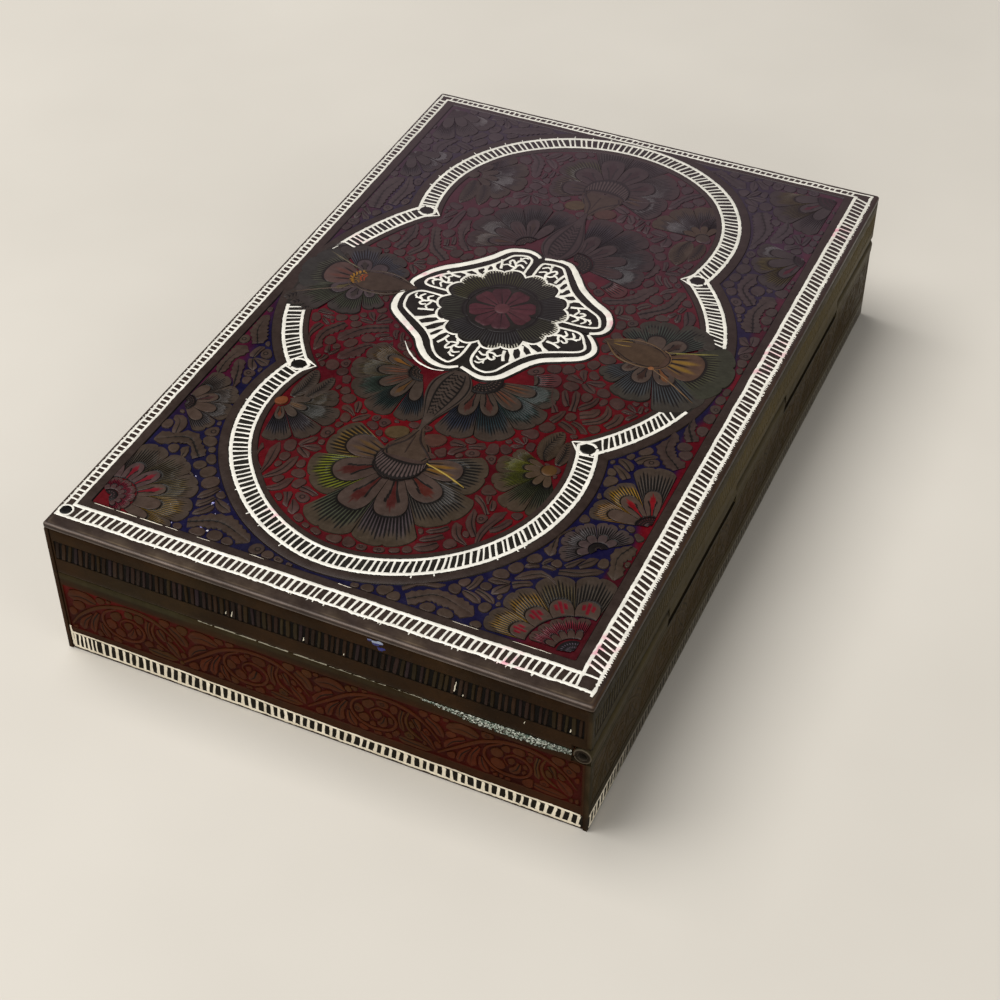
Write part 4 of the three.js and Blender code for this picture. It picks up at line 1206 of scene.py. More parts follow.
def lotus(R, Q, sy, far=False):
    """The big flower with its bud and the two half rosettes behind it. Q maps places, sy is -1 for the mirrored one."""
    # far: slightly smaller petals, with browns and colours greyed as painted reflection haze
    k = 0.85 if far else 1.0
    br = BROWN if not far else srgb(74, 58, 58)
    def grow(R_, at, petals, s_, **kw):
        flower(R_, at, dull(petals, far), s_, **kw)

    # half rosettes
    C = Q(533, 905)
    fr = dict(lines=13, notch=0.42, scal=2, lobe=br, rim=br * 0.9)
    grow(R, C, [dict(a=-86, half=14, r0=3.8, r1=10.4, r2=16.9, fringe=srgb(34, 38, 50), drop=srgb(84, 40, 34)),
                  dict(a=-58, half=14, r0=3.8, r1=10.2, r2=17.2, fringe=srgb(28, 40, 44), drop=srgb(84, 40, 34)),
                  dict(a=-29, half=15, r0=3.8, r1=10.4, r2=16.0, fringe=srgb(30, 46, 44), streak=srgb(104, 60, 40)),
                  dict(a=0, half=14, r0=3.8, r1=10.2, r2=14.6, fringe=srgb(40, 52, 46), streak=srgb(110, 66, 40))], sy, **fr)
    petal(R, C, 24 * sy, 9, 9.2, 9.9, 14.2, br, srgb(92, 44, 44), lines=6, notch=0.3, scal=1, rim=srgb(96, 56, 56), room=room)
    core_hatch(R, C, -112 * sy, 40 * sy, 1.0, 3.7, srgb(96, 76, 68), lines=11, rings=4, hi=H * 0.96)
    room.disc(C, 6.3)
    C = Q(422, 930)
    grow(R, C, [dict(a=-76, half=13, r0=2.5, r1=8.2, r2=14.0, fringe=srgb(38, 44, 50)),
                  dict(a=-104, half=14, r0=2.5, r1=8.6, r2=14.2, fringe=srgb(30, 42, 40), drop=srgb(96, 66, 34)),
                  dict(a=-133, half=15, r0=2.5, r1=8.4, r2=13.6, fringe=srgb(40, 52, 44), streak=srgb(104, 56, 40)),
                  dict(a=-163, half=15, r0=2.5, r1=8.2, r2=13.4, fringe=srgb(64, 54, 32), streak=srgb(112, 62, 40)),
                  dict(a=-193, half=15, r0=2.5, r1=7.8, r2=12.4, fringe=srgb(96, 70, 28), drop=srgb(130, 84, 30))], sy, **fr)
    core_hatch(R, C, -66 * sy, -214 * sy, 0.6, 2.45, srgb(96, 74, 62), lines=9, rings=3, hi=H * 0.96)
    room.disc(C, 4.4)
    # big flower
    C = Q(497, 1171)
    g = dict(r0=4.6, lobe=srgb(88, 70, 62) if not far else br, rim=srgb(82, 68, 54) if not far else br)
    grow(R, C, [dict(a=171.0, half=23, r1=10.9 * k, r2=14.3 * k, fringe=srgb(124, 96, 46), lines=11, streak=srgb(106, 78, 42)),
                  dict(a=216.5, half=22.8, r1=11.8 * k, r2=16.2 * k, fringe=srgb(134, 138, 34), lines=14, drop=srgb(84, 30, 25)),
                  dict(a=255.3, half=16.3, r1=14.3 * k, r2=21.2 * k, fringe=srgb(56, 58, 44), lines=13, drop=srgb(84, 30, 25), rnd=3.2),
                  dict(a=288.3, half=16.9, r1=13.8 * k, r2=21.3 * k, fringe=srgb(66, 56, 58), lines=15, drop=srgb(84, 30, 26), rnd=3.2),
                  dict(a=326.2, half=21.2, r1=11.7 * k, r2=17.8 * k, fringe=srgb(62, 56, 50), lines=17, drop=srgb(92, 36, 26)),
                  dict(a=368.5, half=21.4, r1=11.2 * k, r2=15.6 * k, fringe=srgb(54, 48, 40), lines=12, streak=srgb(132, 92, 28))],
           sy, notch=0.55, scal=2, **g)
    for c, r, tn in ((Q(524, 1094), 2.2, srgb(92, 60, 50)), (Q(455, 1100), 2.1, srgb(96, 76, 50))):
        berry(R, c, r, r * 0.8, 0.5, tn, ring=False, n=18)
        room.disc(c, r + 0.4)
    # calyx: smooth ogee above a hatched crescent, then the bud
    bud(R, [Q(490, 1066), Q(492, 1096), Q(495, 1130), Q(497, 1158)], [0.4, 0.75, 1.2, 1.9, 2.8, 3.7, 4.2, 4.3, 3.6], srgb(84, 66, 54), lo=0.10, hi=H + 0.02, scales=False)
    aa = np.radians(np.linspace(172, 368, 33)) * sy
    B = np.c_[C[0] + 4.55 * np.cos(aa), C[1] + 4.55 * np.sin(aa)]
    A = np.c_[C[0] + 4.3 * np.cos(aa), C[1] + 1.9 * sy + 1.5 * np.sin(aa)]
    dome(R, C, 4.5, srgb(78, 60, 54), base=0.0, rise=H * 0.97, n=30)
    ruled(R, A, B, srgb(104, 86, 82), lines=19, lo=H * 0.9, hi=H + 0.07, rows=6, hatch=0.32, cross=0.2, deep=0.84)
    ribbon(R, np.array([Q(493, 1146), Q(491, 1122), Q(490, 1096)]), 0.36, srgb(60, 46, 40), h=H + 0.05, taper=(0.6, 0.3))
    for pts in ((Q(489, 1078), Q(482, 1112), Q(462, 1140), Q(450, 1166)), (Q(492, 1076), Q(505, 1108), Q(527, 1130), Q(541, 1144))):
        ribbon(R, np.array(pts), 0.42, srgb(52, 40, 36), h=H + 0.07, lift=0.0, taper=(0.4, 0.6))
    bud(R, [Q(487, 899), Q(487, 950), Q(488, 1010), Q(489, 1082)], [1.3, 3.0, 3.85, 3.95, 3.6, 2.9, 2.0, 1.15, 0.6, 0.3], srgb(84, 70, 62) if not far else br, lo=0.12, hi=H + 0.09)
    room.stamp(np.array([Q(470, 890), Q(440, 950), Q(470, 1060), Q(505, 1060), Q(530, 950), Q(505, 890)]), 0.2)
    ribbon(R, np.array([Q(540, 1156), Q(582, 1168), Q(626, 1186)]), 0.32, srgb(190, 160, 70) if not far else br, h=H + 0.05, taper=(0.5, 0.2))


lotus(field, lambda x, y: P(x, y), 1)
lotus(field, lambda x, y: P(474 + (x - 474) * 0.98 + 8, 1392 - y * 0.985), -1, far=True)

# flowers against the band, left and right, in both lobes
def grown(R, at, far, petals, sy, **kw):
    flower(R, at, dull(petals, far), sy, **kw)


# the far copies get plain brown and greyed fringes as painted reflection haze
for sy, dy, far in ((1, 0, False), (-1, 1, True)):
    Q = (lambda x, y: P(x, y)) if sy > 0 else (lambda x, y: P(x, 1398 - y))
    c = Q(226, 1108)
    grown(field, c, far, [dict(a=-66, half=16, r2=11.0, fringe=srgb(40, 38, 44), drop=srgb(96, 52, 34)), dict(a=-34, half=15, r2=11.6, fringe=srgb(46, 40, 44)),
                      dict(a=-3, half=15, r2=11.6, fringe=srgb(48, 46, 38), streak=srgb(112, 76, 34)), dict(a=28, half=15, r2=10.4, fringe=srgb(60, 50, 34))],
           sy, r0=1.6, r1=5.2, lines=10, notch=0.4, lobe=BROWN, rim=BROWN * 0.9)
    berry(field, c + np.array([0.0, 0]), 1.35, 1.0, 0.9, mixc(ORANGE, BROWN, 0.45) if not far else BROWN, h=H + 0.06, ring=False)
    leaf(field, [Q(238, 1090), Q(246, 1048), Q(243, 1002)], 1.7, BROWN * 0.95, pitch=0.5)
    leaf(field, [Q(262, 1085), Q(276, 1045), Q(282, 1010)], 1.5, BROWN * 0.9, pitch=0.5)
    room.stamp(np.array([Q(222, 1095), Q(222, 1000), Q(262, 995), Q(300, 1010), Q(285, 1085)]), 0.1)
    c = Q(741, 1084)
    grown(field, c, far, [dict(a=-74, half=15, r2=12.4, fringe=srgb(44, 46, 34), rim=srgb(70, 60, 46)), dict(a=-104, half=15, r2=12.2, fringe=srgb(48, 50, 32)),
                      dict(a=-136, half=16, r2=10.4, fringe=srgb(96, 98, 26)), dict(a=-168, half=16, r2=9.4, fringe=srgb(128, 126, 28)),
                      dict(a=-196, half=12, r2=7.8, fringe=srgb(96, 86, 30))] if not far else
           [dict(a=a, half=15.5, r2=11.4, fringe=srgb(44, 44, 42)) for a in (-74, -105, -136, -167)],
           sy, r0=1.5, r1=4.4, lines=11, notch=0.4, lobe=srgb(84, 66, 50), rim=srgb(84, 68, 54))
    dome(field, c, 1.35, srgb(96, 66, 34) if not far else BROWN, base=H * 0.7, rise=0.12)
    leaf(field, [Q(722, 1062), Q(716, 1020), Q(724, 978)], 2.1, srgb(84, 68, 54), pitch=0.42, chev=0.9)
    leaf(field, [Q(748, 1066), Q(748, 1032), Q(741, 1000)], 1.3, srgb(78, 60, 48), pitch=0.5)
    room.stamp(np.array([Q(700, 1062), Q(690, 1010), Q(716, 972), Q(752, 1000), Q(765, 1070)]), 0.1)


# the two palmettes that lie over the band
def palmette(Q, sx, tones, size=1.0):
    lo, hi = H + 0.012, H + 0.105

    def ang(a):
        return a if sx > 0 else 180 - a
    C = Q(792, 719)
    common = dict(lo=lo, hi=hi, rim=tones["rim"], notch=0.5, room=room)
    dome(field, C, 3.25 * size, tones["lobe"] * 0.8, base=H * 0.9, rise=0.09, n=26)
    outer = [(104, 22, 6.8, 11.6, tones["green"], 12, 2, "lobe2", None), (62, 20, 7.6, 13.2, tones["green"], 11, 3, "lobe2", tones["drop2"]),
             (-50, 21, 8.0, 16.0, tones["cut_dark_and_shade"], 14, 3, "lobe2", tones["drop"]), (-92, 20, 7.6, 13.0, tones["cut_dark_and_shade"], 13, 3, "lobe2", tones["drop2"]),
             (-128, 15, 6.6, 11.0, tones["cut_dark_and_shade"], 9, 2, "lobe2", tones["drop2"]), (138, 13, 6.6, 10.2, tones["green"], 7, 1, "lobe2", None)]
    for a, half, r1, r2, fr, ln, sc, lb, dr in outer:
        petal(field, C, ang(a), half, 3.0 * size, r1 * size, r2 * size, tones[lb], fr, drop=dr, lines=ln, scal=sc, **common)
    petal(field, C, ang(1), 37, 3.0 * size, 9.6 * size, 15.4 * size, tones["lobe"], tones["olive"], lines=20, scal=3, streak=tones["streak"], lo=lo, hi=hi + 0.012,
          rim=tones["rim2"], notch=0.8, rnd=3.0, fade=0.42, heavy=1.3, room=room)
    for (x, y, r) in ((873, 643, 1.3), (848, 628, 1.1), (760, 640, 1.2)):
        berry(field, Q(x, y), r, r * 0.9, 0, tones["rim"], h=hi, ring=False)
    # ogee calyx with a raised outline
    bud(field, [Q(688, 702), Q(722, 708), Q(762, 715), Q(812, 721)], [0.25, 1.1, 2.2, 3.1, 3.5, 3.2, 1.6], tones["calyx"], lo=lo, hi=H + 0.12, scales=False)
    a = np.radians(np.linspace(-70, 70, 13)) if sx > 0 else np.radians(np.linspace(110, 250, 13))
    stroke(field, np.c_[C[0] + 3.3 * np.cos(a), C[1] + 3.3 * np.sin(a)], 0.16, base=H + 0.085, rise=0.03, tint=tones["line"], kind=0.1, raw=True, rough=0.02)
    for pts in ((Q(694, 700), Q(732, 682), Q(772, 680), Q(808, 694)), (Q(694, 706), Q(728, 740), Q(772, 751), Q(806, 744))):
        ribbon(field, np.array(pts), 0.36, tones["line"] * 0.8, h=H + 0.12)
    ribbon(field, np.array([Q(810, 692), Q(856, 676), Q(898, 660)]), 0.34, tones["yline"], h=H + 0.13, taper=(0.5, 0.2))
    ribbon(field, np.array([Q(800, 748), Q(850, 776), Q(903, 812)]), 0.30, tones["line"], h=H + 0.13, taper=(0.8, 0.2))
    if tones.get("spot") is not None:
        leaf(field, [Q(800, 736), Q(812, 716), Q(800, 690)], 1.5, tones["spot"], h=H + 0.135, pitch=0.6, lobes=0.3)
        leaf(field, [Q(792, 726), Q(800, 714), Q(794, 700)], 0.6, srgb(170, 76, 40), h=H + 0.14, pitch=0.6, veins=0)
    else:
        berry(field, Q(798, 748), 0.6, 0.5, 0.4, srgb(170, 106, 60), h=H + 0.13, ring=False)
        for pts in ((Q(706, 700), Q(722, 693), Q(740, 690)), (Q(708, 706), Q(726, 706), Q(742, 702))):
            ribbon(field, np.array(pts), 0.32, srgb(160, 124, 44), h=H + 0.13)


palmette(lambda x, y: P(x, y), 1,
         dict(lobe=srgb(100, 74, 58), lobe2=srgb(90, 74, 64), rim=srgb(70, 64, 56), rim2=srgb(66, 66, 52), green=srgb(52, 60, 52), cut_dark_and_shade=srgb(54, 58, 60),
              olive=srgb(74, 74, 52), streak=srgb(158, 120, 44), drop=srgb(124, 76, 40), drop2=srgb(62, 40, 30), calyx=srgb(88, 67, 48),
              line=srgb(132, 100, 64), yline=srgb(150, 138, 66)))
palmette(lambda x, y: P(985 - x, y), -1,
         dict(lobe=srgb(96, 72, 66), lobe2=srgb(84, 70, 72), rim=srgb(70, 62, 58), rim2=srgb(62, 60, 56), green=srgb(54, 56, 64), cut_dark_and_shade=srgb(56, 60, 44),
              olive=srgb(62, 62, 50), streak=srgb(110, 66, 56), drop=srgb(96, 84, 50), drop2=srgb(60, 52, 46), calyx=srgb(84, 66, 54),
              line=srgb(100, 82, 66), yline=srgb(110, 98, 72), spot=srgb(190, 134, 46)), size=0.87)
# small leaves that carry the left palmette over the band
for pts_, w_ in ((((103, 628), (87, 650), (80, 676)), 1.7), (((118, 640), (104, 662), (98, 690)), 1.2), (((112, 792), (92, 812), (78, 836)), 1.7),
                 (((128, 806), (110, 828), (96, 846)), 1.3), (((150, 826), (132, 842), (120, 858)), 1.0)):
    leaf(field, PP(*pts_), w_, srgb(72, 62, 56), h=H + 0.10, pitch=0.5)

# medallion rosette
lo, hi = H + 0.01, H + 0.10
for i in range(8):
    tone = (srgb(50, 50, 48), srgb(56, 56, 46), srgb(66, 66, 42), srgb(88, 88, 40), srgb(56, 58, 46), srgb(50, 50, 50), srgb(52, 52, 52), srgb(62, 62, 46))[i]
    petal(field, MID, 22.5 + 45 * i, 22, 6.9, 7.4, 12.0, srgb(44, 40, 38), tone, lines=13, notch=0.55, scal=2, rim=srgb(60, 58, 52), lo=lo, hi=hi, fade=1.02, heavy=2.1)
for i in range(8):
    a = math.radians(22.5 + 45 * i + (3 if i % 3 else -2))
    rr = np.linspace(1.2, 6.75, 11)
    ww = np.where(rr < 4.9, rr * 0.40 - 0.1, (4.9 * 0.40 - 0.1) * np.sqrt(np.clip(1 - ((rr - 4.9) / 1.88) ** 2, 0, 1)))
    tn = (srgb(96, 48, 55), srgb(88, 46, 52), srgb(82, 44, 50), srgb(92, 47, 53))[i % 4]
    blade(field, MID + np.c_[rr * math.cos(a), rr * math.sin(a)], ww, ww, tn, h=H, lift=0.085 - 0.01 * (i % 2), mid=0.75)
dome(field, MID, 1.45, srgb(108, 62, 66), base=H + 0.03, rise=0.10, n=18)

# corner and edge flowers of the border, kept inside the field
EX = dict(room_=room, notch=0.45, lines=11, rim=srgb(80, 66, 56))


def edge_flower(C, petals, r0, core=None, sy=1, **kw):
    k = dict(EX)
    k.update(kw)
    C = P(*C)
    flower(border, C, [dict(r0=r0, **p) for p in petals], sy, **k)
    if core is not None:
        core_hatch(border, C, core[0], core[1], 0.5, r0 - 0.05, core[2], lines=core[3], rings=4, hi=H)
        room.disc(C, r0)


BR2 = srgb(88, 70, 60)
HOT = srgb(130, 15, 34)
C_ = P(945, 1464)
core_hatch(border, C_, 88, 190, 0.4, 2.7, srgb(96, 84, 96), lines=8, rings=3, hi=H)
flower(border, C_, [dict(a=a_, half=9.2, r0=3.1, r1=4.9, r2=7.8, lines=6, fringe=srgb(114, 32, 46), lobe=srgb(80, 60, 52), rim=srgb(82, 62, 54)) for a_ in (98, 116.5, 135, 153.5, 172)],
       1, room_=room, notch=0.2)
room.disc(C_, 8.0)
flower(border, C_, [dict(a=98, half=13, r1=11.6, r2=17.4, fringe=srgb(70, 62, 54), lobe=BR2, drop=HOT), dict(a=123.5, half=12.5, r1=11.8, r2=17.2, fringe=srgb(84, 72, 50), lobe=BR2, drop=HOT),
                    dict(a=148.5, half=12.5, r1=11.6, r2=16.4, fringe=srgb(140, 104, 34), lobe=BR2, drop=HOT), dict(a=172.5, half=11.5, r1=11.2, r2=15.8, fringe=srgb(150, 112, 32), lobe=BR2, drop=HOT)],
       1, r0=7.95, mark="trident", **EX)
C_ = P(84, 1452)
core_hatch(border, C_, -60, 150, 0.3, 1.5, srgb(92, 62, 66), lines=7, rings=2, hi=H)
flower(border, C_, [dict(a=a_, half=14.5, r0=1.55, r1=2.7, r2=4.55, lines=6, fringe=srgb(128, 32, 52), lobe=srgb(88, 62, 60), rim=srgb(90, 64, 60)) for a_ in (-43, -14, 15, 44, 73, 102, 131)],
       1, room_=room, notch=0.2)
room.disc(C_, 4.7)
flower(border, C_, [dict(a=112, half=13, r1=8.6, r2=13.4, fringe=srgb(60, 52, 50), lobe=srgb(92, 70, 68)), dict(a=86, half=13, r1=9.2, r2=14.6, fringe=srgb(66, 58, 50), lobe=srgb(92, 70, 68), drop=HOT),
                    dict(a=60, half=13, r1=9.6, r2=15.2, fringe=srgb(74, 64, 48), lobe=srgb(92, 70, 68), drop=HOT), dict(a=34, half=13, r1=9.6, r2=15.2, fringe=srgb(96, 80, 44), lobe=BR2, drop=HOT),
                    dict(a=8, half=13, r1=9.4, r2=15.0, fringe=srgb(136, 104, 34), lobe=BR2), dict(a=-15, half=10, r1=9.0, r2=14.0, fringe=srgb(130, 98, 34), lobe=BR2)],
       1, r0=4.65, **EX)
# a large curled leaf in the blue ground, like half a flower
C_ = P(893, 1232)
flower(border, C_, [dict(a=a_, half=19, r0=1.7, r1=3.6, r2=6.6, lines=7, fringe=srgb(64, 56, 56), lobe=srgb(84, 68, 66), rim=srgb(80, 66, 62)) for a_ in (58, 97, 136, 175, 214)],
       1, room_=room, notch=0.4)
core_hatch(border, C_, 30, 240, 0.3, 1.65, srgb(80, 64, 62), lines=6, rings=1, hi=H)
room.disc(C_, 2.0)
edge_flower((952, 1146), [dict(a=108, half=16, r1=9.0, r2=15.2, fringe=srgb(66, 58, 52), lobe=BR2, drop=RED), dict(a=142, half=17, r1=8.6, r2=12.0, fringe=srgb(166, 124, 28), lobe=BR2, drop=RED),
                         dict(a=176, half=16, r1=7.8, r2=11.0, fringe=srgb(150, 104, 34), lobe=BR2)], 2.6, core=(92, 190, srgb(96, 50, 50), 8))
edge_flower((68, 1184), [dict(a=72, half=16, r1=6.0, r2=10.2, fringe=srgb(60, 52, 48), lobe=BR2), dict(a=38, half=17, r1=6.2, r2=10.0, fringe=srgb(66, 56, 50), lobe=BR2, drop=srgb(70, 40, 40)),
                        dict(a=3, half=17, r1=6.4, r2=9.4, fringe=srgb(60, 52, 48), lobe=BR2), dict(a=-32, half=17, r1=6.0, r2=9.0, fringe=srgb(56, 50, 50), lobe=BR2)], 2.2, core=(-50, 90, srgb(84, 62, 58), 9))
FB = srgb(72, 62, 62)
edge_flower((946, 70), [dict(a=-104, half=13, r1=8.6, r2=14.4, fringe=srgb(58, 52, 54), lobe=FB), dict(a=-131, half=13.5, r1=8.8, r2=14.6, fringe=srgb(84, 74, 44), lobe=FB, drop=srgb(90, 20, 40)),
                       dict(a=-159, half=13.5, r1=8.6, r2=14.0, fringe=srgb(110, 92, 40), lobe=FB)], 4.0, core=(-178, -92, srgb(80, 40, 52), 8), rim=FB)
edge_flower((74, 70), [dict(a=-76, half=13, r1=7.8, r2=12.6, fringe=srgb(50, 44, 50), lobe=FB), dict(a=-48, half=14, r1=7.6, r2=11.6, fringe=srgb(54, 48, 50), lobe=FB),
                      dict(a=-20, half=14, r1=7.4, r2=11.4, fringe=srgb(56, 48, 50), lobe=FB)], 3.6, core=(-90, -2, srgb(74, 46, 56), 8), rim=FB)
edge_flower((952, 300), [dict(a=-112, half=16, r1=7.8, r2=12.4, fringe=srgb(100, 86, 40), lobe=FB, drop=srgb(90, 22, 40)), dict(a=-146, half=17, r1=7.6, r2=11.0, fringe=srgb(116, 100, 48), lobe=FB),
                        dict(a=-180, half=16, r1=7.2, r2=10.0, fringe=srgb(60, 54, 56), lobe=FB)], 2.4, core=(-195, -92, srgb(74, 50, 56), 8), rim=FB)
edge_flower((68, 262), [dict(a=-66, half=16, r1=6.4, r2=9.6, fringe=srgb(50, 46, 52), lobe=FB), dict(a=-30, half=17, r1=6.2, r2=9.0, fringe=srgb(50, 46, 52), lobe=FB),
                       dict(a=5, half=17, r1=6.2, r2=8.8, fringe=srgb(50, 46, 52), lobe=FB)], 2.2, core=(-88, 24, srgb(66, 50, 56), 8), rim=FB)


def put_leaf(R, pts, w, tint=None, **kw):
    c = PP(*pts)
    leaf(R, c, w, motif_tint(c[1][0], c[1][1]) if tint is None else tint, **kw)
    room.stamp(leaf_probe(c, w, 0.42)[1])


def put_berry(R, px, py, r, sy=0.85, rot=0.3, tint=None):
    c = P(px, py)
    if not room.free(np.array([c])):
        return
    berry(R, c, r, r * sy, rot, motif_tint(c[0], c[1]) if tint is None else tint)
    room.disc(c, r + 0.42, sy, rot)


# large curled leaves in the border, and the leaf groups that stand out on the red ground: their midlines
BIG = ((((940, 1206), (930, 1240), (940, 1280)), 1.3), (((838, 1196), (820, 1232), (824, 1270)), 1.4),
       (((938, 985), (905, 950), (900, 895)), 1.8), (((936, 905), (918, 868), (925, 820)), 1.5), (((660, 1462), (700, 1438), (762, 1452)), 1.7),
       (((640, 1440), (660, 1425), (692, 1412)), 1.1), (((245, 1452), (292, 1434), (352, 1452)), 1.7), (((168, 1300), (128, 1268), (80, 1290)), 1.7), (((100, 1262), (92, 1235), (80, 1225)), 1.1),
       (((116, 1352), (100, 1318), (74, 1322)), 1.3), (((188, 1350), (150, 1330), (140, 1290)), 1.3), (((84, 1100), (78, 1050), (86, 1000)), 1.5), (((130, 1120), (112, 1068), (98, 1040)), 1.4),
       (((100, 975), (82, 940), (78, 900)), 1.4), (((868, 1340), (835, 1322), (800, 1345)), 1.2), (((930, 560), (916, 505), (930, 450)), 1.7), (((900, 480), (870, 440), (880, 390)), 1.6),
       (((92, 480), (84, 420), (96, 366)), 1.6), (((120, 455), (122, 400), (108, 350)), 1.3), (((640, 72), (700, 78), (752, 100)), 1.3), (((340, 72), (270, 78), (216, 108)), 1.3),
       (((820, 180), (846, 240), (838, 300)), 1.6), (((870, 160), (884, 215), (872, 262)), 1.5), (((130, 180), (112, 222), (124, 262)), 1.5))
SMALL = ((((712, 915), (708, 892), (700, 868)), 1.05), (((722, 905), (738, 886), (742, 868)), 0.95), (((700, 905), (686, 886), (680, 872)), 0.9), (((686, 930), (668, 905), (656, 870)), 1.15),
         (((706, 1312), (700, 1270), (716, 1212)), 1.15), (((694, 1285), (676, 1262), (664, 1226)), 1.0), (((708, 1262), (722, 1248), (732, 1226)), 0.9), (((690, 1312), (668, 1300), (652, 1272)), 1.0),
         (((282, 1330), (290, 1280), (280, 1215)), 1.15), (((296, 1305), (318, 1276), (326, 1236)), 1.1), (((284, 1284), (262, 1262), (254, 1230)), 1.0), (((306, 1330), (332, 1316), (346, 1286)), 1.0),
         (((640, 590), (690, 560), (716, 510)), 1.4), (((660, 520), (684, 480), (690, 440)), 1.4), (((720, 600), (760, 560), (772, 500)), 1.4), (((800, 560), (812, 590), (806, 626)), 1.0),
         (((300, 590), (262, 556), (240, 500)), 1.4), (((330, 540), (300, 500), (292, 450)), 1.3), (((200, 590), (206, 540), (196, 500)), 1.4), (((230, 600), (244, 570), (240, 540)), 1.1),
         (((300, 838), (262, 860), (236, 900)), 1.4), (((330, 880), (290, 905), (262, 950)), 1.4), (((220, 860), (200, 900), (206, 950)), 1.3), (((180, 880), (176, 910), (190, 940)), 1.0),
         (((250, 210), (262, 250), (250, 290)), 1.4), (((300, 160), (330, 190), (344, 240)), 1.4), (((690, 160), (660, 190), (640, 240)), 1.4), (((740, 230), (722, 260), (728, 300)), 1.3))


def flow(x, y):
    e = 0.2
    g = np.array([cartouche(x + e, y) - cartouche(x - e, y), cartouche(x, y + e) - cartouche(x, y - e)])
    return math.atan2(g[0], -g[1]) + 0.9 * float(wob(x, y, 61, 0.35)) + 0.5


side = cartouche(room.X, room.Y) < -2
fill(field, room, room.full | ~side, flow, motif_tint, 71, [(PP(*p_), w_) for p_, w_ in SMALL])
fill(border, room, room.full | side, flow, motif_tint, 72, [(PP(*p_), w_) for p_, w_ in BIG], channel=0.34)


# painted glints: small pale domes, white to blue, in the blue ground near the front, made as bright cuts
g_ = np.random.default_rng(77)
for _ in range(120):
    c_ = np.array([g_.uniform(-33, 8), g_.uniform(-68.2, -52)])
    if cartouche(c_[0], c_[1]) < RIM_OUT + 0.3:
        continue
    a_ = np.linspace(0, 2 * math.pi, 7, endpoint=False)
    e_ = g_.uniform(0.10, 0.24) * (1 + g_.uniform(-0.4, 0.4, 7))
    p_ = [np.c_[c_[0] + e_ * f_ * np.cos(a_), c_[1] + e_ * f_ * np.sin(a_), np.full(7, h_)] for f_, h_ in ((1.0, 0.0), (0.7, 0.10), (0.3, 0.14))]
    cuts_and_glints.grid(np.array(p_), np.broadcast_to(mixc(srgb(232, 230, 236), srgb(120, 118, 196), g_.uniform(0, 1)), (3, 7, 3)), 0.4, loop=True, cap=True)


# ---------------------------------------------------------------- materials
def nodes_of(name):
    m = bpy.data.materials.new(name)
    m.use_nodes = True
    nt = m.node_tree
    nt.nodes.clear()
    out = nt.nodes.new("ShaderNodeOutputMaterial")
    bsdf = nt.nodes.new("ShaderNodeBsdfPrincipled")
    nt.links.new(bsdf.outputs[0], out.inputs["Surface"])
    return m, nt, bsdf


def noise(nt, vec, scale, detail=3.0, rough=0.55, stretch=None):
    n = nt.nodes.new("ShaderNodeTexNoise")
    n.inputs["Scale"].default_value = scale
    n.inputs["Detail"].default_value = detail
    n.inputs["Roughness"].default_value = rough
    if stretch is not None:
        mp = nt.nodes.new("ShaderNodeMapping")
        mp.inputs["Scale"].default_value = stretch
        nt.links.new(vec, mp.inputs["Vector"])
        vec = mp.outputs[0]
    nt.links.new(vec, n.inputs["Vector"])
    return n.outputs["Fac"]


def ramp(nt, fac, lo, hi, a, b):
    r = nt.nodes.new("ShaderNodeMapRange")
    r.inputs["From Min"].default_value = lo
    r.inputs["From Max"].default_value = hi
    r.inputs["To Min"].default_value = a
    r.inputs["To Max"].default_value = b
    nt.links.new(fac, r.inputs["Value"])
    return r.outputs[0]


def maths(nt, op, a, b=None, clamp=False):
    n = nt.nodes.new("ShaderNodeMath")
    n.operation = op
    n.use_clamp = clamp
    for i, x in enumerate((a, b)):
        if x is None:
            continue
        if isinstance(x, (int, float)):
            n.inputs[i].default_value = x
        else:
            nt.links.new(x, n.inputs[i])
    return n.outputs[0]


def mixn(nt, fac, a, b, mode="MIX"):
    n = nt.nodes.new("ShaderNodeMix")
    n.data_type = "RGBA"
    n.blend_type = mode
    for sock, x in ((n.inputs["Factor"], fac), (n.inputs[6], a), (n.inputs[7], b)):
        if isinstance(x, (int, float)):
            sock.default_value = x
        elif isinstance(x, (tuple, list, np.ndarray)):
            sock.default_value = (*[float(v) for v in x][:3], 1.0)
        else:
            nt.links.new(x, sock)
    return n.outputs[2]


def bump(nt, bsdf, height, strength, dist):
    b = nt.nodes.new("ShaderNodeBump")
    b.inputs["Strength"].default_value = strength
    b.inputs["Distance"].default_value = dist
    nt.links.new(height, b.inputs["Height"])
    nt.links.new(b.outputs[0], bsdf.inputs["Normal"])


def obj_coord(nt):
    return nt.nodes.new("ShaderNodeTexCoord").outputs["Object"]


def attr(nt, name, out="Color"):
    a = nt.nodes.new("ShaderNodeAttribute")
    a.attribute_name = name
    return a.outputs[out]


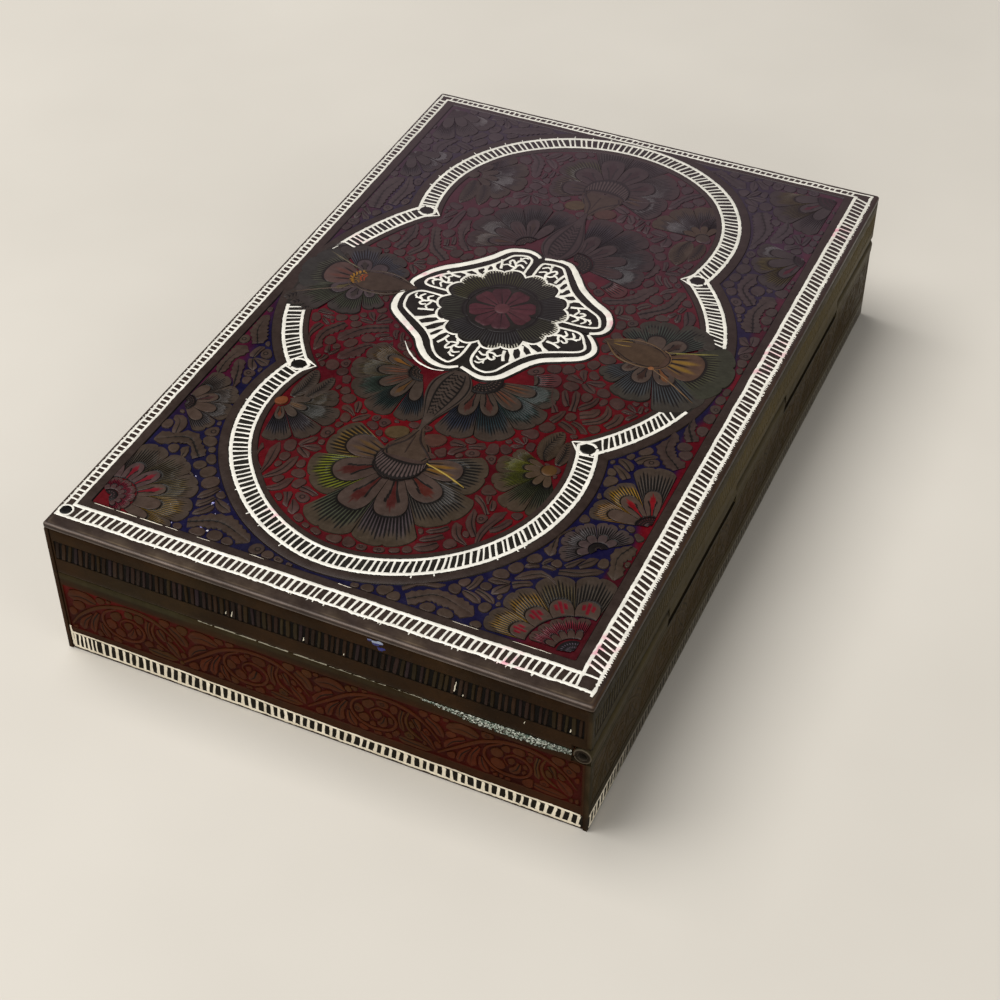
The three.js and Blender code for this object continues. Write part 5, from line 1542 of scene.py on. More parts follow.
def lacquer_mat(name, rough=(0.30, 0.52), coat=0.45, coat_rough=0.16, metal=0.30, dust=0.10, gain=1.0, depth=0.5, spec=0.35, gloss_tint=(1.0, 1.0, 1.0), painted_rear_sheen=0.0):
    m, nt, b = nodes_of(name)
    v = obj_coord(nt)
    big, mid, fine = noise(nt, v, 90, 4), noise(nt, v, 620, 4, 0.62), noise(nt, v, 3800, 3, 0.6)
    tint = attr(nt, "tint")
    shade = maths(nt, "MULTIPLY", ramp(nt, big, 0.3, 0.7, 0.88 * gain, 1.10 * gain), ramp(nt, mid, 0.3, 0.72, 0.80, 1.16))
    cut = attr(nt, "cut", "Fac")
    col = mixn(nt, 1.0, tint, maths(nt, "MULTIPLY", shade, ramp(nt, cut, 0.0, 0.5, depth, 1.0)), "MULTIPLY")
    # the graver's cuts hold old dark wax; the lower values at the foot of raised parts are painted shade
    cut_dark_and_shade = attr(nt, "cut_dark_and_shade", "Fac")
    col = mixn(nt, 1.0, col, ramp(nt, cut_dark_and_shade, 0.0, 0.6, 1.0, 0.80), "MULTIPLY")
    edge = maths(nt, "ADD", cut_dark_and_shade, ramp(nt, mid, 0.3, 0.7, -0.05, 0.05))
    col = mixn(nt, maths(nt, "MULTIPLY", ramp(nt, edge, 0.44, 0.60, 0.0, 1.0), 0.94), col, srgb(15, 12, 11))
    # small pale specks scattered by noise: painted glints
    speck = ramp(nt, fine, 0.66, 0.74, 0.0, 1.0)
    col = mixn(nt, maths(nt, "MULTIPLY", speck, 0.10), col, srgb(150, 132, 110))
    # dust and dry polish lying in soft clouds
    cloud = ramp(nt, noise(nt, v, 240, 5, 0.7), 0.52, 0.8, 0.0, dust)
    col = mixn(nt, cloud, col, srgb(112, 104, 96))
    if painted_rear_sheen:
        # painted sheen: a pale reflection haze mixed into the colour, stronger towards the rear and the left
        xyz = nt.nodes.new("ShaderNodeSeparateXYZ")
        nt.links.new(v, xyz.inputs[0])
        rear, left = ramp(nt, xyz.outputs["Y"], -0.015, 0.068, 0.0, painted_rear_sheen), ramp(nt, xyz.outputs["X"], 0.045, -0.045, 0.75, 1.30)
        col = mixn(nt, maths(nt, "MULTIPLY", rear, left), col, srgb(78, 67, 72))
    nt.links.new(col, b.inputs["Base Color"])
    rg = maths(nt, "ADD", ramp(nt, mid, 0.3, 0.7, rough[0], rough[1]), maths(nt, "MULTIPLY", cloud, 0.5))
    nt.links.new(rg, b.inputs["Roughness"])
    nt.links.new(maths(nt, "ADD", maths(nt, "MULTIPLY", cut, 0.6), metal, True), b.inputs["Metallic"])
    b.inputs["Specular IOR Level"].default_value = spec
    b.inputs["Specular Tint"].default_value = (*gloss_tint, 1.0)
    b.inputs["Coat Weight"].default_value = coat
    b.inputs["Coat Roughness"].default_value = coat_rough
    b.inputs["Coat IOR"].default_value = 1.5
    h = maths(nt, "ADD", maths(nt, "MULTIPLY", mid, 0.7), maths(nt, "MULTIPLY", fine, 0.35))
    bump(nt, b, h, 0.55, 0.00004)
    return m


def cut_mat(name):
    """Bare metal left by the graver, and the painted glints: pale, with fine chatter marks and a little tarnish."""
    m, nt, b = nodes_of(name)
    v = obj_coord(nt)
    fine, mid = noise(nt, v, 5200, 3, 0.6), noise(nt, v, 700, 4, 0.6)
    col = mixn(nt, 1.0, attr(nt, "tint"), ramp(nt, mid, 0.3, 0.7, 0.90, 1.04), "MULTIPLY")
    tarn = ramp(nt, fine, 0.60, 0.72, 0.0, 0.30)
    col = mixn(nt, tarn, col, srgb(120, 112, 96))
    nt.links.new(col, b.inputs["Base Color"])
    nt.links.new(ramp(nt, fine, 0.3, 0.7, 0.34, 0.58), b.inputs["Roughness"])
    cut = attr(nt, "cut", "Fac")
    nt.links.new(maths(nt, "MULTIPLY", cut, 0.08), b.inputs["Metallic"])
    bump(nt, b, fine, 0.5, 0.00003)
    return m


def metal_mat(name, base, edge, rough=(0.3, 0.5), metal=0.9, stretch=(1, 1, 1)):
    m, nt, b = nodes_of(name)
    v = obj_coord(nt)
    a, f = noise(nt, v, 260, 5, 0.65), noise(nt, v, 2600, 3, 0.6, stretch)
    col = mixn(nt, ramp(nt, a, 0.35, 0.68, 0, 1), base, edge)
    col = mixn(nt, 1.0, col, ramp(nt, f, 0.3, 0.7, 0.8, 1.15), "MULTIPLY")
    nt.links.new(col, b.inputs["Base Color"])
    nt.links.new(ramp(nt, f, 0.3, 0.7, rough[0], rough[1]), b.inputs["Roughness"])
    nt.links.new(ramp(nt, a, 0.3, 0.75, metal, metal - 0.25), b.inputs["Metallic"])
    bump(nt, b, f, 0.4, 0.00004)
    return m


def wood_mat(name, along):
    """Cedar lining: long fibre streaks, growth bands and small pores running along one axis."""
    m, nt, b = nodes_of(name)
    v = obj_coord(nt)
    st = [620.0, 620.0, 620.0]
    st["xyz".index(along)] = 26.0
    fib = noise(nt, v, 1.0, 6, 0.62, tuple(st))
    st2 = [150.0, 150.0, 150.0]
    st2["xyz".index(along)] = 7.0
    band = noise(nt, v, 1.0, 4, 0.5, tuple(st2))
    st3 = [2600.0, 2600.0, 2600.0]
    st3["xyz".index(along)] = 170.0
    pore = noise(nt, v, 1.0, 2, 0.5, tuple(st3))
    col = mixn(nt, ramp(nt, band, 0.36, 0.66, 0, 1), srgb(168, 112, 72), srgb(132, 78, 46))
    col = mixn(nt, ramp(nt, fib, 0.4, 0.68, 0, 0.75), col, srgb(104, 58, 34))
    col = mixn(nt, ramp(nt, pore, 0.64, 0.72, 0, 0.7), col, srgb(66, 36, 22))
    col = mixn(nt, ramp(nt, noise(nt, v, 60, 3), 0.5, 0.75, 0, 0.25), col, srgb(92, 58, 40))
    nt.links.new(col, b.inputs["Base Color"])
    nt.links.new(ramp(nt, fib, 0.3, 0.7, 0.42, 0.62), b.inputs["Roughness"])
    b.inputs["Coat Weight"].default_value = 0.12
    b.inputs["Coat Roughness"].default_value = 0.35
    bump(nt, b, maths(nt, "ADD", maths(nt, "MULTIPLY", fib, 0.6), maths(nt, "MULTIPLY", pore, -0.5)), 0.6, 0.00008)
    return m


def felt_mat(name):
    m, nt, b = nodes_of(name)
    v = obj_coord(nt)
    f1, f2 = noise(nt, v, 3200, 5, 0.75), noise(nt, v, 160, 4)
    col = mixn(nt, ramp(nt, f1, 0.35, 0.7, 0, 1), srgb(24, 48, 36), srgb(48, 84, 64))
    col = mixn(nt, ramp(nt, f2, 0.5, 0.8, 0, 0.35), col, srgb(70, 92, 76))
    nt.links.new(col, b.inputs["Base Color"])
    b.inputs["Roughness"].default_value = 0.95
    b.inputs["Sheen Weight"].default_value = 0.5
    b.inputs["Sheen Roughness"].default_value = 0.5
    bump(nt, b, f1, 0.9, 0.00025)
    return m


def crust_mat(name):
    m, nt, b = nodes_of(name)
    v = obj_coord(nt)
    f1, f2 = noise(nt, v, 4200, 5, 0.7), noise(nt, v, 900, 4)
    col = mixn(nt, 1.0, attr(nt, "tint"), ramp(nt, f1, 0.3, 0.7, 0.55, 1.25), "MULTIPLY")
    col = mixn(nt, ramp(nt, f2, 0.5, 0.7, 0, 0.5), col, srgb(60, 96, 80))
    nt.links.new(col, b.inputs["Base Color"])
    nt.links.new(ramp(nt, f1, 0.3, 0.7, 0.7, 0.95), b.inputs["Roughness"])
    bump(nt, b, f1, 0.8, 0.0001)
    return m


MAT_TOP = lacquer_mat("lacquer_top", (0.28, 0.44), 0.0, 0.14, 0.06, dust=0.05, spec=0.115, painted_rear_sheen=0.44)
MAT_WALL = lacquer_mat("lacquer_wall", (0.34, 0.50), 0.0, 0.18, 0.04, dust=0.03, depth=0.75, spec=0.03, gloss_tint=(1.0, 0.80, 0.52))
MAT_CUT_AND_GLINT = cut_mat("bright_cut_and_glint")
MAT_BRASS = metal_mat("bare_brass", srgb(122, 106, 86), srgb(78, 66, 54), (0.36, 0.55), 0.85)
MAT_PIN = metal_mat("drawn_wire", srgb(120, 118, 114), srgb(84, 78, 72), (0.25, 0.42), 0.95, (1, 0.02, 1))
MAT_WOOD_Y, MAT_WOOD_X = wood_mat("cedar_along_y", "y"), wood_mat("cedar_along_x", "x")
MAT_FELT, MAT_CRUST = felt_mat("felt_green"), crust_mat("verdigris")

# ------------------------------------------------------ build the lid plate
for arr in border.v:      # the edge flowers run into the frame line, and are cut off there
    arr[:, 0] = np.clip(arr[:, 0], FX0 + 0.02, FX1 - 0.02)
    arr[:, 1] = np.clip(arr[:, 1], FY0 + 0.02, FY1 - 0.02)
lid_plate = plate.build("lid_plate", top_place, "lid", MAT_TOP)
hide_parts("lid_top_plate")
lid_relief_in = field.build("lid_plate_relief_field", top_place, "lid", MAT_TOP)
lid_relief_out = border.build("lid_plate_relief_border", top_place, "lid", MAT_TOP)
lid_cuts = cuts_and_glints.build("lid_plate_bright_cuts_and_glints", top_place, "lid", MAT_CUT_AND_GLINT, sharp=70)

# -------------------------------------------------------------------- walls
SKIN = 0.12               # the untouched wall surface lies this far inside the outline
FRONT = lambda v: np.c_[v[:, 0], -(77 - SKIN) - v[:, 2], v[:, 1]]
REAR = lambda v: np.c_[-v[:, 0], (77 - SKIN) + v[:, 2], v[:, 1]]
RIGHT = lambda v: np.c_[(50 - SKIN) + v[:, 2], v[:, 0], v[:, 1]]
LEFT = lambda v: np.c_[-(50 - SKIN) - v[:, 2], -v[:, 0], v[:, 1]]
W_BROWN = srgb(51, 33, 17)
W_DARK = srgb(37, 24, 13)
W_RED = srgb(72, 14, 8)
CREAM = srgb(242, 232, 210)


def slab(R, us, vs, mask, hf, cf, back, backtint):
    us, vs = np.array(sorted(set(np.round(us, 4)))), np.array(sorted(set(np.round(vs, 4))))
    nu, nv = len(us), len(vs)
    U, V = np.meshgrid(us, vs, indexing="ij")
    f = R.add(np.stack([U, V, hf(U, V)], -1).reshape(-1, 3), cf(U, V).reshape(-1, 3), 0.0)
    end = ((U < us[0] + 0.35) | (U > us[-1] - 0.35)).reshape(-1)
    k = R.add(np.stack([U, V, np.full(U.shape, back)], -1).reshape(-1, 3), mixc(backtint * np.ones((U.size, 3)), 0.6 * W_BROWN + 0.4 * W_DARK, end.astype(float)), np.where(end, 0.0, 0.4))
    M = np.zeros((nu + 1, nv + 1), bool)
    M[1:nu, 1:nv] = mask((us[:-1, None] + us[1:, None]) / 2, (vs[None, :-1] + vs[None, 1:]) / 2)
    q = []
    for i in range(nu - 1):
        for j in range(nv - 1):
            if not M[i + 1, j + 1]:
                continue
            a, b, c, d = i * nv + j, (i + 1) * nv + j, (i + 1) * nv + j + 1, i * nv + j + 1
            q.append((f + a, f + b, f + c, f + d))
            q.append((k + a, k + d, k + c, k + b))
            if not M[i, j + 1]:
                q.append((f + a, f + d, k + d, k + a))
            if not M[i + 2, j + 1]:
                q.append((f + c, f + b, k + b, k + c))
            if not M[i + 1, j]:
                q.append((f + b, f + a, k + a, k + b))
            if not M[i + 1, j + 2]:
                q.append((f + d, f + c, k + c, k + d))
    R.q.append(np.array(q))


def bars(R, us, z0, z1, w, slant, tints, lo=-0.2, hi=0.0):
    """The plain brown strips left standing between cut slots."""
    for u, s, tn in zip(us, slant, tints):
        ww = w * rng.uniform(0.72, 1.22) / 2
        zz = np.array([z0, z0 + rng.uniform(0.2, 0.5), (z0 + z1) / 2, z1 - rng.uniform(0.2, 0.5), z1])
        hz = np.array([0.35, 1.0, 1.0, 1.0, 0.4])
        fw = np.array([0.55, 1, 1.05, 1, 0.6])
        q = np.array([-ww - 0.12, -ww, ww, ww + 0.12])
        cu = u + s * (zz - (z0 + z1) / 2) / (z1 - z0) + rng.normal(0, 0.02, 5)
        x = cu[:, None] + q[None, :] * fw[:, None]
        h = lo + (hi - lo) * hz[:, None] * np.array([0, 1, 1, 0])[None, :] - 0.01
        p = np.stack([x, np.broadcast_to(zz[:, None], x.shape), h], -1)
        # the sides and ends of each strip are painted darker as shade
        R.grid(p, tn * np.array([0.3, 1.0, 0.95, 0.3])[None, :, None] * np.array([0.7, 1, 1, 1, 0.7])[:, None, None])


def edge_h(u, z, u0, u1, z0, z1, r=0.3, d=0.12):
    e = np.minimum(np.minimum(u - u0, u1 - u), np.minimum(z - z0, z1 - z))
    return -d * (1 - np.clip(e / r, 0, 1)) ** 1.6


def lines_of(u0, u1, step=2.2):
    return list(np.linspace(u0, u1, int((u1 - u0) / step) + 1))


def lid_wall(name, place, node, u0, u1, mask=None, extra_u=(), extra_v=(), zlo=18.7, far=False, back=-0.87, rows=4, olive=0, tone=1.0, inset=1.15):
    R = Relief()
    a, b = u0 + inset, u1 - inset
    us = [u0, u0 + 0.12, u0 + 0.3, a - 0.1, a, b, b + 0.1, u1 - 0.3, u1 - 0.12, u1] + lines_of(a, b) + list(extra_u)
    vs = [18.7, 18.82, 19.0, 20.2, 21.45, 21.52, 21.68, 21.75, 21.88, 22.0, 24.0, 26.1, 26.22, 26.38, 26.45, 26.61, 26.68, 27.5, 28.45, 28.63, 28.75] + list(extra_v)

    def h(u, z):
        inn = ((u > a - 0.05) & (u < b + 0.05)).astype(float)
        o = -(0.07 if olive else 0.20) * inn * ((z > 21.95) & (z < 26.15))
        return o + edge_h(u, z, u0, u1, 18.7, 28.75) + 0.012 * wob(u, z, 81, 0.7)

    def c(u, z):
        inn = ((u > a - 0.05) & (u < b + 0.05)).astype(float)
        t = mixc(W_BROWN * tone, W_DARK * tone, 0.5 + 0.6 * wob(u, z, 82, 0.25))
        # olive hinge side: olive brown, yellowed further as a painted reflection of the floor
        t = mixc(t, srgb(70, 61, 36) * tone, 0.85) if olive else mixc(t, srgb(54, 44, 26) * tone, 0.35 * sstep(-0.2, 0.9, wob(u, z, 83, 0.2)))
        if olive:
            # painted reflection: the hinge side brightens towards the rear; it is also darker above the slot band
            t = t * ((0.60 + 0.86 * sstep(-76, 8, u)) * (1 - 0.52 * sstep(26.3, 26.9, z)))[..., None]
            # painted shadow: a dark band along the foot where the wall stands over the base knuckles
            t = t * (1 - 0.88 * sstep(20.42, 20.30, z) * over_base_knuckle(u))[..., None]
        # the slot band is black; on the hinge side it fades to the olive further back, as painted reflection
        t = mixc(t, mixc(np.broadcast_to(BLACK, t.shape), t, 0.85 * sstep(-72, -45, u) * olive), inn * ((z > 21.95) & (z < 26.15)))
        # painted highlight along the two corner edges
        e = np.minimum(u - u0, u1 - u)
        t = mixc(t, srgb(96, 76, 58), 0.30 * (e < 0.2) * (0.5 + 0.5 * wob(u, z, 84, 1.0)))
        t = mixc(t, srgb(120, 108, 90), 0.20 * (z < 18.85))
        return t
    slab(R, us, vs, mask or (lambda u, z: np.ones(np.broadcast(u, z).shape, bool)), h, c, back, srgb(92, 80, 62))
    n = int((b - a - 0.6) / 1.12)
    cu = np.linspace(a + 0.6, b - 0.6, n) + rng.uniform(-0.14, 0.14, n)
    sl = 0.42 + 0.2 * np.sin(cu * 0.11) + rng.normal(0, 0.09, n)
    pal = (srgb(62, 46, 38), srgb(56, 42, 42), srgb(52, 42, 48), srgb(56, 48, 32), srgb(46, 36, 32))
    tn = [mixc(pal[rng.integers(5)], W_BROWN * tone, rng.uniform(0.1, 0.7)) * rng.uniform(0.62, 0.95) for x in cu]
    if olive:
        # the hinge side's strips brighten towards the rear: painted reflection
        tn = [mixc(t, srgb(70, 61, 36), 0.85) * (0.72 + 1.10 * float(sstep(-76, 8, x))) for t, x in zip(tn, cu)]
    keep = np.ones(n, bool)
    if mask is not None:
        keep = mask(cu, np.full(n, 22.2)) & mask(cu, np.full(n, 26.0))
    bars(R, cu[keep], 22.02, 26.08, 0.50, sl[keep], [t for t, k in zip(tn, keep) if k])
    ob = R.build(name, place, "lid", MAT_WALL, rows=rows)
    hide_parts(node)
    return R


def scroll(R, u0, u1, z0, seed=3, plain=0.0):
    """Running vine cut in narrow red channels: rising stems, round curls, fans of blades, and flat leaves between."""
    r = np.random.default_rng(seed)
    n = max(1, int(round((u1 - u0) / 22.0)))
    per = (u1 - u0) / n
    lo = -0.21
    space = Room(u0, z0, u1, z0 + 10.2, 0.1)
    space.full |= (space.X < u0 + 0.15) | (space.X > u1 - 0.15) | (space.Y < z0 + 0.1) | (space.Y > z0 + 10.1)
    V = Relief()
    seeds = []

    def tone_at(x, y):
        t = mixc(srgb(84, 34, 16), srgb(74, 42, 22), 0.5 + 0.5 * float(wob(x, y, 401, 0.4)))
        t = mixc(t, srgb(70, 48, 22), 0.6 * sstep(0.2, 0.9, wob(x, y, 402, 0.5)))
        # on the hinge side the panel goes to the same olive, yellowed as a painted reflection of the floor
        return mixc(t * 0.84, srgb(64, 55, 33), plain)

    def stem(pts, w):
        c = np.array([(min(max(ub + x * per / 22.0, u0 + 0.4), u1 - 0.4), z0 + y) for x, y in pts])
        if length(c) < 1.2:
            return
        m = spline(c, 40)
        ribbon(V, m, w, tone_at(*m[20]) * 1.05, h=H, n=40)
        tg, nr = frame2(m)
        space.stamp(np.vstack([m + nr * w / 2, (m - nr * w / 2)[::-1]]), 0.2)

    for k in range(n):
        ub = u0 + k * per
        stem([(-1.0, 1.0), (2.5, 4.2), (6.5, 7.6), (11.0, 9.3), (15.5, 9.0), (19.0, 6.8), (21.4, 3.6)], 0.62)
        stem([(9.6, 8.6), (7.2, 6.8), (6.6, 4.4), (8.0, 2.2), (10.6, 1.4), (13.2, 2.4), (14.2, 4.6), (13.0, 6.4), (11.0, 6.6), (9.8, 5.2), (10.4, 3.8)], 0.50)
        stem([(16.4, 8.3), (15.8, 6.2), (16.4, 4.0), (18.4, 2.4)], 0.46)
        for pts, w in (([(5.6, 5.4), (4.6, 3.4), (4.4, 1.0)], 0.85), ([(4.4, 4.6), (3.0, 2.8), (2.4, 0.8)], 0.8), ([(6.2, 3.2), (6.4, 1.8), (7.0, 0.7)], 0.7), ([(3.2, 6.0), (1.6, 5.0), (0.4, 3.2)], 0.9),
                       ([(5.2, 8.0), (3.2, 8.6), (1.0, 8.0)], 1.0), ([(15.0, 1.2), (17.0, 1.0), (19.4, 0.9)], 0.8), ([(18.2, 4.6), (19.4, 3.2), (20.2, 1.8)], 0.7), ([(15.2, 7.6), (14.9, 5.6), (15.2, 3.6)], 0.7),
                       ([(19.6, 8.2), (20.8, 7.2), (21.6, 5.6)], 0.9), ([(12.2, 4.6), (11.8, 3.4), (11.2, 2.8)], 0.7), ([(17.2, 6.6), (17.8, 5.4), (18.2, 4.4)], 0.6)):
            c = np.array([(ub + x * per / 22.0, z0 + y) for x, y in pts])
            if c[:, 0].min() > u0 + 0.5 and c[:, 0].max() < u1 - 0.5:
                seeds.append((c, w))
    fill(V, space, space.full, lambda x, y: 0.6 + 0.8 * float(wob(x, y, 403, 0.5)), tone_at, seed + 40, seeds, tries=260, channel=0.40, scales=(0.8, 0.65), dots=(1.1, 0.85, 0.6))
    for v in V.v:
        v[:, 2] = lo + v[:, 2] * 0.84
        v[:, 0] = np.clip(v[:, 0], u0 + 0.05, u1 - 0.05)
        v[:, 1] = np.clip(v[:, 1], z0 + 0.05, z0 + 10.15)
    off = R.n
    for v, c_, kk, ii in zip(V.v, V.c, V.k, V.i):
        R.add(v, c_, kk, ii)
    R.q += [q_ + off for q_ in V.q]
    R.g += [[i + off for i in g] for g in V.g]


def base_wall(name, place, node, u0, u1, mask=None, extra_u=(), extra_v=(), far=False, back=-0.87, rows=4, seed=3, top=18.6, tone=1.0, pitch=1.4, inset=1.15, ptop=15.75, plain=0.0, raised=0.0, dull=False):
    R, K = Relief(), Relief()
    a, b = u0 + inset, u1 - inset
    us = [u0, u0 + 0.12, u0 + 0.3, a - 0.1, a, b, b + 0.1, u1 - 0.3, u1 - 0.12, u1] + lines_of(a, b) + list(extra_u)
    vs = [0.02, 0.1, 0.28, 0.5, 0.56, 3.44, 3.5, 3.8, 4.1, 4.4, 5.05, 5.12, 5.26, 5.33, 5.45, 5.55, 8, 11, 13.5, ptop, ptop + 0.1, ptop + 0.24, top - 0.3, top - 0.1, top] + list(extra_v)
    line = not (top < 17)
    if line:
        vs += [15.98, 16.25, 17.2, 17.4, 17.7]
    head = lambda u: 3.42 + raised * sstep(5, -47, u)          # the ladder is a little taller at one end

    def h(u, z):
        inn = ((u > a - 0.05) & (u < b + 0.05)).astype(float)
        o = -(0.08 if dull else 0.21) * inn * ((z > 5.5) & (z < ptop + 0.05))
        return o + edge_h(u, z, u0, u1, 0.02, top) + 0.012 * wob(u, z, 85, 0.7)

    def c(u, z):
        inn = ((u > a - 0.05) & (u < b + 0.05)).astype(float)
        t = mixc(W_BROWN * tone, W_DARK * tone, 0.5 + 0.6 * wob(u, z, 86, 0.25))
        t = mixc(t, srgb(66, 34, 18) * tone, (0.0 if dull else 0.55) * sstep(16.6, 15.9, z))
        # hinge side: olive brown, yellowed by a painted reflection of the floor and brighter towards the rear, with a
        # dark band under the lid knuckles as painted shadow
        if dull:
            t = mixc(t, srgb(68, 59, 36), 0.85) * ((0.52 + 0.56 * sstep(-76, -20, u)) * (1 - 0.88 * sstep(15.40, 15.50, z) * under_lid_knuckle(u)))[..., None]
        t = mixc(t, srgb(62, 58, 38), 0.75 * sstep(17.0, 17.6, z) * (0.7 + 0.3 * wob(u, z, 89, 0.6)) * line * (1 - 0.5 * sstep(-20, 10, u)))
        red = mixc(W_RED, srgb(48, 12, 8), 0.5 + 0.6 * wob(u, z, 87, 0.35))
        red = mixc(red, srgb(112, 20, 18), (0.6 if raised > 0 else 0.2) * sstep(-10, -44, u) * sstep(9, 15, z + 3 * wob(u, z, 90, 0.5)) + 0.4 * sstep(0.3, 1.0, wob(u, z, 91, 0.5)))
        # on the hinge side the panel goes to the same olive, yellowed as a painted reflection of the floor
        red = mixc(red * 0.82, np.broadcast_to(srgb(57, 49, 30), red.shape), plain)
        t = mixc(t, red * tone, inn * ((z > 5.5) & (z < ptop + 0.05)))
        t = mixc(t, np.broadcast_to(SLOT * 0.45, t.shape), (z > 0.53) & (z < head(u) + 0.05))
        # painted shade along the very foot of the wall
        t = mixc(t, np.broadcast_to(SHADE_AT_FOOT, t.shape), 0.6 * (z < 0.3))
        # painted highlight along the two corner edges
        e = np.minimum(u - u0, u1 - u)
        t = mixc(t, srgb(96, 76, 58), 0.3 * (e < 0.2) * (0.5 + 0.5 * wob(u, z, 88, 1.0)))
        return t
    slab(R, us, vs, mask or (lambda u, z: np.ones(np.broadcast(u, z).shape, bool)), h, c, back, srgb(92, 80, 62))
    scroll(R, a + 0.1, b - 0.1, 5.55, seed, plain)
    ob = R.build(name, place, "base", MAT_WALL, rows=rows)
    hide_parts(node)
    # bright ladder along the foot; on the hinge side it is bright only near the front
    def tint(x, y):
        t = mixc(CREAM * np.ones(np.shape(x) + (3,)), srgb(216, 204, 180), 0.5 + 0.5 * wob(x, y, seed + 50, 1.4))
        return mixc(t, srgb(66, 56, 38), 0.92 * sstep(-72, -58, x + 2 * wob(x, y, seed + 51, 1.0))) if dull else t

    def put(pts, w, **kw):
        c = np.asarray(pts, float)
        stroke(K, c, w, base=0.0, rise=0.055, raw=True, tint=tint(c[:, 0], c[:, 1])[:, None, :], **kw)
    c_ = seg((u0 + 0.5, 3.42), (u1 - 0.5, 3.42))
    c_[:, 1] = head(c_[:, 0])
    put(wavy(c_, 0.05, seed + 90, 0.6), 0.46, rough=0.06)
    put(wavy(seg((u0 + 0.4, 0.72), (u1 - 0.4, 0.72)), 0.06, seed + 91, 0.9), 0.56, rough=0.12)
    n = int((u1 - u0 - 1.2) / pitch)
    cu = np.linspace(u0 + 0.9, u1 - 0.9, n) + rng.uniform(-0.1, 0.1, n)
    if raised > 0:
        cu = np.r_[np.linspace(u0 + 0.8, u0 + 5.2, 6), cu[cu > u0 + 6.0]]
        put(seg((u0 + 0.42, 0.9), (u0 + 0.30, 5.7), 12), [0.5, 0.55, 0.35], rough=0.05)
    n = len(cu)
    sl = 0.22 + 0.12 * np.sin(cu * 0.17) + rng.normal(0, 0.05, n)
    tn = tint(cu, np.full(n, 2.0))
    for j in range(n):
        rungs(K, np.array([[cu[j] + sl[j], head(cu[j]) - 0.1]]), np.array([[cu[j] - sl[j] * 0.4, 0.72]]), 0.48 if cu[j] < u0 + 6 and raised > 0 else 0.72,
              base=0.0, rise=0.055, over=0.38, tint=tn[j])
    ok = K.build(name + "_bright_cuts", place, "base", MAT_CUT_AND_GLINT, rows=rows, sharp=70)
    return ob


KN = [-77, -43, -9, 19, 52, 77]        # ends of the five knuckles


def over_base_knuckle(y):              # true along knuckles A, C and E, and their clearances
    y = np.asarray(y)
    return ((y < KN[1] + 0.25) | ((y > KN[2] - 0.25) & (y < KN[3] + 0.25)) | (y > KN[4] - 0.25))


def under_lid_knuckle(y):
    y = np.asarray(y)
    return ((y > KN[1] - 0.25) & (y < KN[2] + 0.25)) | ((y > KN[3] - 0.25) & (y < KN[4] + 0.25))


STEP = [s for k in KN[1:5] for s in (k - 0.25, k + 0.25)]
nf = lambda side: (lambda u, z: ~((side * u > 46.5) & (z < 19.8)) & (u > -99))
nb = lambda side: (lambda u, z: ~((side * u > 46.5) & (z > 16.0)) & (u > -99))
lid_wall("lid_wall_front", FRONT, "lid_front_wall", -48.95, 48.95, mask=nf(1), extra_u=(46.5, 46.62), extra_v=(19.8, 19.9), rows=4, inset=0.5)
lid_wall("lid_wall_rear", REAR, "lid_rear_wall", -48.95, 48.95, mask=nf(-1), extra_u=(-46.5, -46.62), extra_v=(19.8, 19.9), rows=4, inset=0.5)
lid_wall("lid_wall_left", LEFT, "lid_left_wall", -77, 77, far=True, rows=4)
base_wall("base_wall_front", FRONT, "base_front_wall", -48.95, 48.95, mask=nb(1), extra_u=(46.38, 46.5), extra_v=(15.9, 16.0), rows=3, seed=3, inset=0.5, raised=0.75)
base_wall("base_wall_rear", REAR, "base_rear_wall", -48.95, 48.95, mask=nb(-1), extra_u=(-46.38, -46.5), extra_v=(15.9, 16.0), rows=3, seed=4, inset=0.5)
base_wall("base_wall_left", LEFT, "base_left_wall", -77, 77, rows=3, seed=5, far=True)


def mask_lid_hinge(u, z):
    low = np.where(over_base_knuckle(u), 20.0, 19.55)
    return z > low


def mask_base_hinge(u, z):
    high = np.where(under_lid_knuckle(u), 15.8, 16.25)
    return z < high


lid_wall("lid_wall_hinge", RIGHT, "lid_hinge_wall", -77, 77, mask=mask_lid_hinge, extra_u=STEP, extra_v=(19.55, 19.65, 20.0, 20.1, 20.28, 20.44), far=True, rows=4, olive=1)
base_wall("base_wall_hinge", RIGHT, "base_hinge_wall", -77, 77, mask=mask_base_hinge, extra_u=STEP, extra_v=(15.38, 15.52, 15.7, 15.8, 16.15), rows=3, seed=6, far=True, top=16.25, ptop=15.0, plain=0.85, dull=True)

# ------------------------------------------------------------- hinge barrel
HX, HZ = 48.4, 17.9


